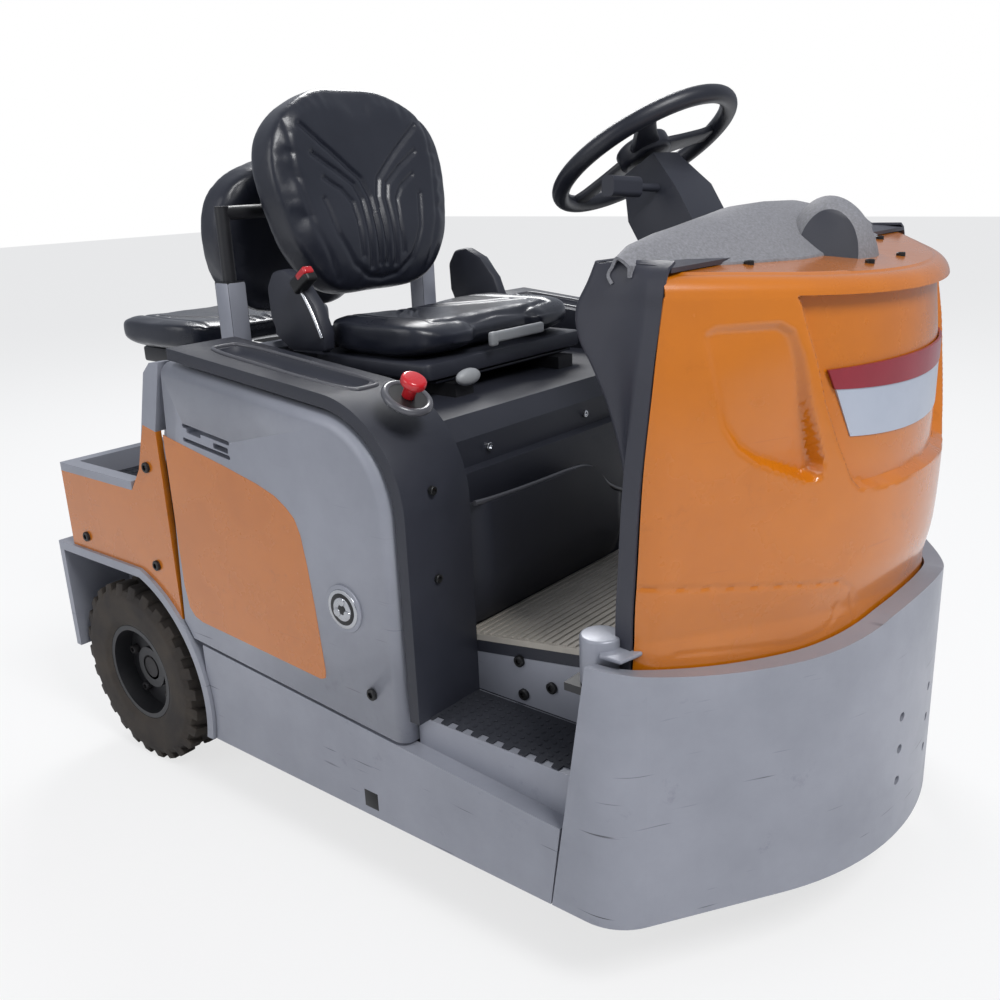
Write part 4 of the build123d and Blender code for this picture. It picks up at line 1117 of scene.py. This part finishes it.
pocketShell = placeGrid("pocketShell", int(pocket["across"] * detail), int(pocket["up"] * detail),
                        pocketPoint)
applyModifier(pocketShell, "SOLIDIFY", thickness=pocket["thick"], offset=1)
closeUp(pocketShell, merge["grid"])
pocketLip = addTube("pocketLip", [(x, pocket["lipY"], z + pocket["lipUp"]) for x, z in pocket["top"]],
                    pocket["lipRadius"])
finishPiece(pocketLip, rimPlastic, "chassis", 50)
finishPiece(pocketShell, darkPlastic, "chassis", 40, replaces=["front_pocket"])
print("footwell made")

# Tyres: carcass, shoulder lugs and wheel nuts

tyre = {
    "hubZ": 0.192, "around": 96, "across": 44, "lugs": 26, "lugSize": (0.040, 0.031, 0.030),
    "lugEdge": 0.003, "lugX": 0.0385, "lugWide": 0.95, "shoulderX": 0.048, "shoulderIn": 0.007,
    "lugRadius": 0.177, "lugTaper": 0.25, "treadRadius": 0.185, "sweep": 0.9,
    "profile": [(-0.050, 0.102), (-0.0565, 0.115), (-0.058, 0.140), (-0.0575, 0.166), (-0.052, 0.178),
                (-0.036, 0.184), (0.036, 0.184), (0.052, 0.178), (0.0575, 0.166), (0.058, 0.140),
                (0.0565, 0.115), (0.050, 0.102)],
}
nuts = {"count": 5, "ring": 0.070, "start": 0.3, "out": 0.012, "radius": 0.010, "height": 0.008,
        "capOut": 0.016, "capRadius": 0.030, "capThick": 0.016, "capEdge": 0.003}


def addLug(x, y, side, turn):
    # A block bent round the tyre, swept forwards towards its shoulder.
    lug = addCube("lug", (0, 0, 0), tyre["lugSize"], tyre["lugEdge"])
    for vertex in lug.data.vertices:
        v = vertex.co
        a = side * (tyre["lugX"] + v.x * tyre["lugWide"])
        if abs(a) > tyre["shoulderX"] and v.z > 0:
            a -= side * tyre["shoulderIn"]
        r = tyre["lugRadius"] + v.z
        swing = (turn + (v.y * (1 - tyre["lugTaper"] * (v.z > 0))) / tyre["treadRadius"]
                 + side * v.x * tyre["sweep"])
        vertex.co = (x + a, y + r * math.cos(swing), tyre["hubZ"] + r * math.sin(swing))
    return lug


def makeTyre(name, x, y, body, replaced, outward):
    profile = tyre["profile"]

    def place(around, along):
        spot = min(len(profile) - 1.0001, along * (len(profile) - 1))
        index = int(spot)
        share = spot - index
        a, r = (low + (high - low) * share for low, high in zip(profile[index], profile[index + 1]))
        turn = around * 2 * math.pi
        return x + a, y + r * math.cos(turn), tyre["hubZ"] + r * math.sin(turn)
    pieces = [closeUp(placeGrid(name, tyre["around"], tyre["across"], place), merge["tyre"])]
    for side in (-1, 1):
        # The lugs on one shoulder stand between those on the other.
        offset = 0.5 if side > 0 else 0
        for row in range(tyre["lugs"]):
            pieces.append(addLug(x, y, side, 2 * math.pi * (row + offset) / tyre["lugs"]))
    finishPiece(closeUp(joinPieces(name, pieces), merge["plate"]), tyreRubber, body, 35, replaces=[replaced])
    if outward:
        addNuts(name + "Nuts", x, y, body, outward)


def addNuts(name, x, y, body, outward):
    pieces = []
    for row in range(nuts["count"]):
        turn = 2 * math.pi * row / nuts["count"] + nuts["start"]
        place = (x + outward * nuts["out"], y + nuts["ring"] * math.cos(turn),
                 tyre["hubZ"] + nuts["ring"] * math.sin(turn))
        pieces.append(addBolt("nut", place, (outward, 0, 0), nuts["radius"], nuts["height"]))
    pieces.append(addDisc("cap", (x + outward * nuts["capOut"], y, tyre["hubZ"]), nuts["capRadius"],
                          nuts["capThick"], axis=(1, 0, 0), sides=40, bevel=nuts["capEdge"]))
    finishPiece(joinPieces(name, pieces), rimSteel, body, 35)


makeTyre("tyreRearRight", -0.440, 0.508, "rear_wheel_right", "rear_tyre_right", -1)
makeTyre("tyreRearLeft", 0.440, 0.508, "rear_wheel_left", "rear_tyre_left", 1)
makeTyre("tyreFront", 0.0, -0.640, "front_wheel", "front_tyre", 0)
print("tyres made")

# Seats: moulded pads, puffed as cloth, then their sewn grooves

cloth = {"pressure": 4, "frames": 20}
backLean = math.radians(9)
backForm = {
    "cuts": 30, "power": 4.5, "wing": 0.020, "lumbar": 0.012, "lumbarAt": 0.28, "lumbarTall": 0.2,
    "rearWing": 0.35, "sink": 0.004, "foot": 0.008, "shorter": 0.014, "cap": 0.006, "faceShare": 0.55,
    "sewnFrom": 0.03, "sewnTo": 0.95,
}
cushionForm = {
    "cuts": 28, "power": 5.0, "narrow": 0.07, "bolster": 0.012, "dish": 0.010, "dishAt": 0.25,
    "roll": 0.06, "rollFrom": 0.55, "kneeLift": 0.022, "kneeFrom": 0.2, "foot": 0.002, "shorter": 0.008,
    "margin": 0.004, "notchDeep": 0.020, "notchFrom": 0.6, "notchHalf": 0.092, "notchFade": 0.03,
    "cap": 0.005, "faceShare": 0.45,
}

# Sewn grooves: line, depth and width. A back's lines give distance from the middle and share of its height,
# and a cushion's give distance from the middle and metres towards the knees.
backGrooves = [
    ([(0.150, 0.79), (0.085, 0.67), (0.024, 0.545), (0.011, 0.46), (0.010, 0.15)], 0.0055, 0.0085),
    ([(0.136, 0.665), (0.085, 0.59), (0.045, 0.52), (0.034, 0.45), (0.033, 0.14)], 0.0050, 0.0080),
    ([(0.118, 0.555), (0.080, 0.50), (0.060, 0.44), (0.056, 0.36), (0.056, 0.19)], 0.0045, 0.0075),
    ([(0.128, 0.46), (0.112, 0.30), (0.080, 0.16), (0.040, 0.095), (-0.001, 0.080)], 0.0040, 0.0090),
    ([(0.178, 0.86), (0.183, 0.60), (0.165, 0.35), (0.120, 0.10)], 0.0020, 0.0100)]
cushionGrooves = [
    ([(0.150, 0.06), (0.085, -0.02), (0.030, -0.07), (0.012, -0.10), (0.010, -0.13)], 0.0045, 0.008),
    ([(0.150, 0.015), (0.090, -0.05), (0.045, -0.09), (0.036, -0.13)], 0.0040, 0.008),
    ([(0.165, 0.105), (0.172, 0.0), (0.160, -0.13)], 0.0030, 0.009),
    ([(0.165, 0.105), (0.080, 0.112), (-0.001, 0.104)], 0.0030, 0.009)]
grooveForm = {"sharpness": 0.6, "least": 0.0001}


def padForm(name, cuts, power, place):
    # A divided cube, rounded to a superellipsoid and laid out by place(x, y, z), each from -1 to 1.
    clearSelection()
    bpy.ops.mesh.primitive_cube_add(size=2)
    piece = bpy.context.object
    piece.name = name
    bpy.ops.object.mode_set(mode="EDIT")
    bpy.ops.mesh.select_all(action="SELECT")
    bpy.ops.mesh.subdivide(number_cuts=cuts)
    bpy.ops.object.mode_set(mode="OBJECT")
    for vertex in piece.data.vertices:
        v = vertex.co
        size = (abs(v.x) ** power + abs(v.y) ** power + abs(v.z) ** power) ** (1 / power)
        vertex.co = place(v.x / size, v.y / size, v.z / size)
    return piece


def puffUp(piece, voxel, cap):
    # The pad swells as cloth under pressure, and no point moves further than cap.
    makeActive(piece)
    piece.data.remesh_voxel_size = voxel
    bpy.ops.object.voxel_remesh()
    rest = [vertex.co.copy() for vertex in piece.data.vertices]
    modifier = piece.modifiers.new("cloth", "CLOTH")
    modifier.settings.use_pressure = True
    modifier.settings.uniform_pressure_force = cloth["pressure"]
    modifier.settings.effector_weights.gravity = 0
    for frameNumber in range(1, cloth["frames"] + 1):
        bpy.context.scene.frame_set(frameNumber)
    bpy.ops.object.modifier_apply(modifier=modifier.name)
    bpy.context.scene.frame_set(1)
    for vertex, start in zip(piece.data.vertices, rest):
        move = vertex.co - start
        if move.length > cap:
            vertex.co = start + move.normalized() * cap


def sewGrooves(piece, grooves, flat, outwards):
    # flat gives a point's place on the sewn face, or None where nothing is sewn.
    for vertex in piece.data.vertices:
        spot = flat(vertex.co)
        if spot is None:
            continue
        dent = 0.0
        for line, deep, wide in grooves:
            near = lineDistance(*spot, line)
            dent = max(dent, deep * math.exp(-(near / (wide * grooveForm["sharpness"])) ** 2))
        if dent > grooveForm["least"]:
            vertex.co = vertex.co - outwards * dent


def finishPad(pad, body, replaced):
    finishPiece(pad, blackVinyl, body, 60, replaces=[replaced])


def makeBack(name, foot, facing, halfWidths, height, thick, voxel):
    # facing is -1 for the driver's back, which looks forward, and 1 for the passenger's.
    form = backForm
    up = Vector((0, -facing * math.sin(backLean), math.cos(backLean)))
    out = Vector((0, facing * math.cos(backLean), math.sin(backLean)))
    foot = Vector(foot)

    def place(a, depth, b):
        share = (b + 1) / 2
        wing = form["wing"] * abs(a) ** 3
        lumbar = (form["lumbar"] * math.exp(-((share - form["lumbarAt"]) / form["lumbarTall"]) ** 2)
                  * (1 - a * a))
        reach = depth * thick / 2 + (wing + lumbar if depth > 0 else form["rearWing"] * wing) - form["sink"]
        rise = form["foot"] + share * (height - form["shorter"])
        return foot + Vector((a * ramp(share, halfWidths), 0, 0)) + up * rise + out * (reach - thick / 2)

    def flat(point):
        v = point - foot
        share = v.dot(up) / height
        if v.dot(out) < -thick * form["faceShare"] or not form["sewnFrom"] < share < form["sewnTo"]:
            return None
        return abs(v.x), share * height
    piece = padForm(name, form["cuts"], form["power"], place)
    puffUp(piece, voxel, form["cap"])
    applyModifier(piece, "SUBSURF", levels=1, render_levels=1)
    grooves = [([(x, share * height) for x, share in line], deep, wide) for line, deep, wide in backGrooves]
    sewGrooves(piece, grooves, flat, out)
    return piece


def makeCushion(name, middleY, length, width, low, high, facing, voxel, notched):
    # facing is the side on which the knees are, and notched makes room there for the slide handle.
    form = cushionForm

    def place(a, b, c):
        share = (c + 1) / 2
        z = low + form["foot"] + share * (high - low - form["shorter"])
        if share > 0.5:
            z += form["bolster"] * abs(a) ** 4
            z -= form["dish"] * (1 - a * a) * max(0, 1 - (b + form["dishAt"]) ** 2)
            z -= form["roll"] * max(0, b - form["rollFrom"]) ** 2
        else:
            z += form["kneeLift"] * max(0, b - form["kneeFrom"]) ** 2
        y = middleY + facing * b * (length / 2 - form["margin"])
        if notched and b > form["notchFrom"]:
            inside = easeIn(form["notchHalf"] - abs(a * width / 2), form["notchFade"])
            y -= facing * form["notchDeep"] * (b - form["notchFrom"]) / (1 - form["notchFrom"]) * inside
        narrow = 1 - form["narrow"] * max(0, -b) ** 2
        return Vector((a * (width / 2 - form["margin"]) * narrow, y, z))

    def flat(point):
        if point.z < low + (high - low) * form["faceShare"]:
            return None
        return abs(point.x), facing * (point.y - middleY)
    piece = padForm(name, form["cuts"], form["power"], place)
    puffUp(piece, voxel, form["cap"])
    applyModifier(piece, "SUBSURF", levels=1, render_levels=1)
    sewGrooves(piece, cushionGrooves, flat, Vector((0, 0, 1)))
    return piece


# Half the back's width at each share of its height
driverWidths = ((0.0, 0.168), (0.10, 0.182), (0.3, 0.214), (0.55, 0.231), (0.75, 0.220), (0.88, 0.186),
                (0.96, 0.145), (1.0, 0.120))
passengerWidths = ((0.0, 0.158), (0.10, 0.172), (0.3, 0.202), (0.55, 0.217), (0.75, 0.206), (0.88, 0.175),
                   (0.96, 0.136), (1.0, 0.112))
driverBack = makeBack("driverBackPad", foot=(0, 0.206, 0.918), facing=-1, halfWidths=driverWidths,
                      height=0.412, thick=0.088, voxel=0.007)
finishPad(driverBack, "driver_back", "driver_backrest")
passengerBack = makeBack("passengerBackPad", foot=(0, 0.548, 0.870), facing=1, halfWidths=passengerWidths,
                         height=0.340, thick=0.076, voxel=0.008)
finishPad(passengerBack, "chassis", "passenger_backrest")
driverCushion = makeCushion("driverSeatPad", middleY=0.039, length=0.302, width=0.470, low=0.836,
                            high=0.905, facing=-1, voxel=0.007, notched=True)
finishPad(driverCushion, "driver_seat", "driver_cushion")
passengerCushion = makeCushion("passengerSeatPad", middleY=0.740, length=0.310, width=0.460, low=0.796,
                               high=0.862, facing=1, voxel=0.008, notched=False)
finishPad(passengerCushion, "chassis", "passenger_cushion")
print("seats made")

# Seat hardware: pan, recliner covers, buckle, slide handle, weight knob, bellows and brackets

seat = {
    "pan": [(-0.225, -0.098), (-0.215, -0.106), (0.215, -0.106), (0.225, -0.098), (0.225, 0.180),
            (0.212, 0.190), (-0.212, 0.190), (-0.225, 0.180)],
    "panZ": 0.806, "panThick": 0.030, "panEdge": 0.006,
    "cheek": [(0.112, 0.846), (0.108, 0.880), (0.128, 0.930), (0.165, 0.972), (0.205, 0.990),
              (0.240, 0.984), (0.258, 0.955), (0.256, 0.900), (0.238, 0.862), (0.205, 0.842)],
    "cheekX": 0.262, "cheekThick": 0.028, "cheekEdge": 0.008,
    "spine": ((0.263, 0.114, 0.872), (0.263, 0.136, 0.930), (0.263, 0.172, 0.968)), "spineRadius": 0.0035,
    "buckleLean": -35, "knobPlace": (-0.150, -0.130, 0.806), "knobHalfSize": (0.030, 0.012, 0.015),
    "folds": 5, "foldPlace": (0, 0.040, 0.8005), "foldPitch": 0.0068, "foldSize": (0.396, 0.276, 0.005),
    "foldIn": 0.012, "foldEdge": 0.002,
}

# Blocks by name: place, size and edge radius
blocks = {"buckleBody": ((-0.262, 0.150, 0.972), (0.026, 0.052, 0.028), 0.006),
          "bucklePress": ((-0.2645, 0.142, 0.9845), (0.022, 0.030, 0.014), 0.004),
          "slideHandle": ((0.002, -0.1215, 0.862), (0.150, 0.012, 0.020), 0.005),
          "handleEnd": ((-0.070, -0.1235, 0.860), (0.018, 0.014, 0.026), 0.005),
          "postSleeve": ((0.262, 0.365, 0.900), (0.042, 0.042, 0.124), 0.004),
          "passengerBracket": ((0.165, 0.735, 0.775), (0.030, 0.20, 0.035), 0.006)}

pan = addFlatPlate("seatPan", seat["pan"], seat["panZ"], seat["panThick"], seat["panEdge"])
finishPiece(pan, darkPlastic, "driver_seat", 40)
for side, label in sides:
    cheek = addSidePlate("reclinerCheek" + label, seat["cheek"], side * seat["cheekX"],
                         seat["cheekThick"], seat["cheekEdge"])
    finishPiece(cheek, darkPlastic, "driver_seat", 40)
    spine = addTube("cheekSpine" + label, [mirrored(point, side) for point in seat["spine"]],
                    seat["spineRadius"])
    finishPiece(spine, brightSteel, "driver_seat", 50)
buckleTurn = (math.radians(seat["buckleLean"]), 0, 0)
for name, finish in (("buckleBody", boltBlack), ("bucklePress", redPlastic)):
    finishPiece(addCube(name, *blocks[name], 3, turn=buckleTurn), finish, "driver_seat", 40)
handleParts = [addCube(name, *blocks[name], 3) for name in ("slideHandle", "handleEnd")]
finishPiece(joinPieces("slideHandle", handleParts), greyHandle, "driver_seat", 40)
weightKnob = addBall("weightKnob", 32, 20)
weightKnob.scale = seat["knobHalfSize"]
weightKnob.location = seat["knobPlace"]
applyPlace(weightKnob)
finishPiece(weightKnob, greyHandle, "driver_seat", 60)
for row in range(seat["folds"]):
    (x, y, z), (wide, long, thick) = seat["foldPlace"], seat["foldSize"]
    fold = addCube("bellowsFold" + str(row), (x, y, z + row * seat["foldPitch"]),
                   (wide - seat["foldIn"] * (row % 2), long, thick), seat["foldEdge"])
    finishPiece(fold, softGrip, "driver_seat", 40)
for side, label in sides:
    for name, finish in (("postSleeve", silverPaint), ("passengerBracket", blackFrame)):
        place, size, edge = blocks[name]
        finishPiece(addCube(name + label, mirrored(place, side), size, edge), finish, "chassis", 40)
print("seat hardware made")

# Steering wheel and column

steering = {
    "tilt": math.radians(32), "hub": (0, -0.395, 1.167), "rimRadius": 0.148, "rimThick": 0.0138,
    "hubUp": 0.001, "hubRadius": 0.044, "hubThick": 0.030, "hubEdge": 0.008, "padUp": 0.012,
    "padRadius": 0.031, "padThick": 0.010, "padEdge": 0.003, "spokeAngles": (98, 218, 338),
    "spokeDown": 0.0065, "spokeThick": 0.012, "spokeEdge": 0.004, "columnEdge": 0.012, "columnAngle": 20,
    "spoke": [(0.030, -0.025), (0.075, -0.019), (0.115, -0.016), (0.142, -0.020), (0.142, 0.020),
              (0.115, 0.016), (0.075, 0.019), (0.030, 0.025)],
}
wheelTilt, wheelHub = steering["tilt"], Vector(steering["hub"])
wheelUp = Vector((0, math.sin(wheelTilt), math.cos(wheelTilt)))
wheelTurn = Matrix.Rotation(-wheelTilt, 4, "X")
parts = [addRing("rim", wheelHub, steering["rimRadius"], steering["rimThick"], (-wheelTilt, 0, 0), 128, 24),
         addDisc("hub", wheelHub + wheelUp * steering["hubUp"], steering["hubRadius"],
                 steering["hubThick"], axis=wheelUp, sides=64, bevel=steering["hubEdge"], segments=4),
         addDisc("hubPad", wheelHub + wheelUp * steering["padUp"], steering["padRadius"],
                 steering["padThick"], axis=wheelUp, sides=48, bevel=steering["padEdge"], segments=3)]
for angle in steering["spokeAngles"]:
    spokeTurn = Matrix.Rotation(math.radians(angle), 4, "Z")

    def spokePlace(a, b):
        return wheelHub + wheelTurn @ (spokeTurn @ Vector((a, b, -steering["spokeDown"])))
    parts.append(addPlate("spoke", steering["spoke"], spokePlace, wheelUp * steering["spokeThick"],
                          steering["spokeEdge"]))
finishPiece(joinPieces("steeringWheelShell", parts), softGrip, "steering_wheel", 40,
            replaces=["steering_wheel"])
column = closeUp(copyNode("columnShell", "steering_column"), merge["node"])
applyModifier(column, "BEVEL", width=steering["columnEdge"], segments=4, limit_method="ANGLE",
              angle_limit=math.radians(steering["columnAngle"]))
finishPiece(column, darkPlastic, "chassis", 40, replaces=["steering_column"])
print("steering made")

# Load tray floor: dark rubber mat with square studs

tray = {"outline": [(-0.462, 0.466), (0.462, 0.466), (0.462, 0.642), (-0.462, 0.642)], "z": 0.5752,
        "thick": 0.0025, "edge": 0.0008, "studsAcross": 40, "studsAlong": 7, "studFrom": (-0.448, 0.478),
        "studPitch": (0.023, 0.0245), "studZ": 0.578, "studSize": (0.013, 0.013, 0.0025),
        "studEdge": 0.0006}
trayPieces = [addFlatPlate("trayMat", tray["outline"], tray["z"], tray["thick"], tray["edge"])]
for across in range(tray["studsAcross"]):
    for along in range(tray["studsAlong"]):
        place = (tray["studFrom"][0] + across * tray["studPitch"][0],
                 tray["studFrom"][1] + along * tray["studPitch"][1], tray["studZ"])
        trayPieces.append(addCube("stud", place, tray["studSize"], tray["studEdge"], 1))
finishPiece(joinPieces("trayMat", trayPieces), stepRubber, "chassis", 30)
print("load tray made")

bpy.context.scene.view_settings.view_transform = "Standard"
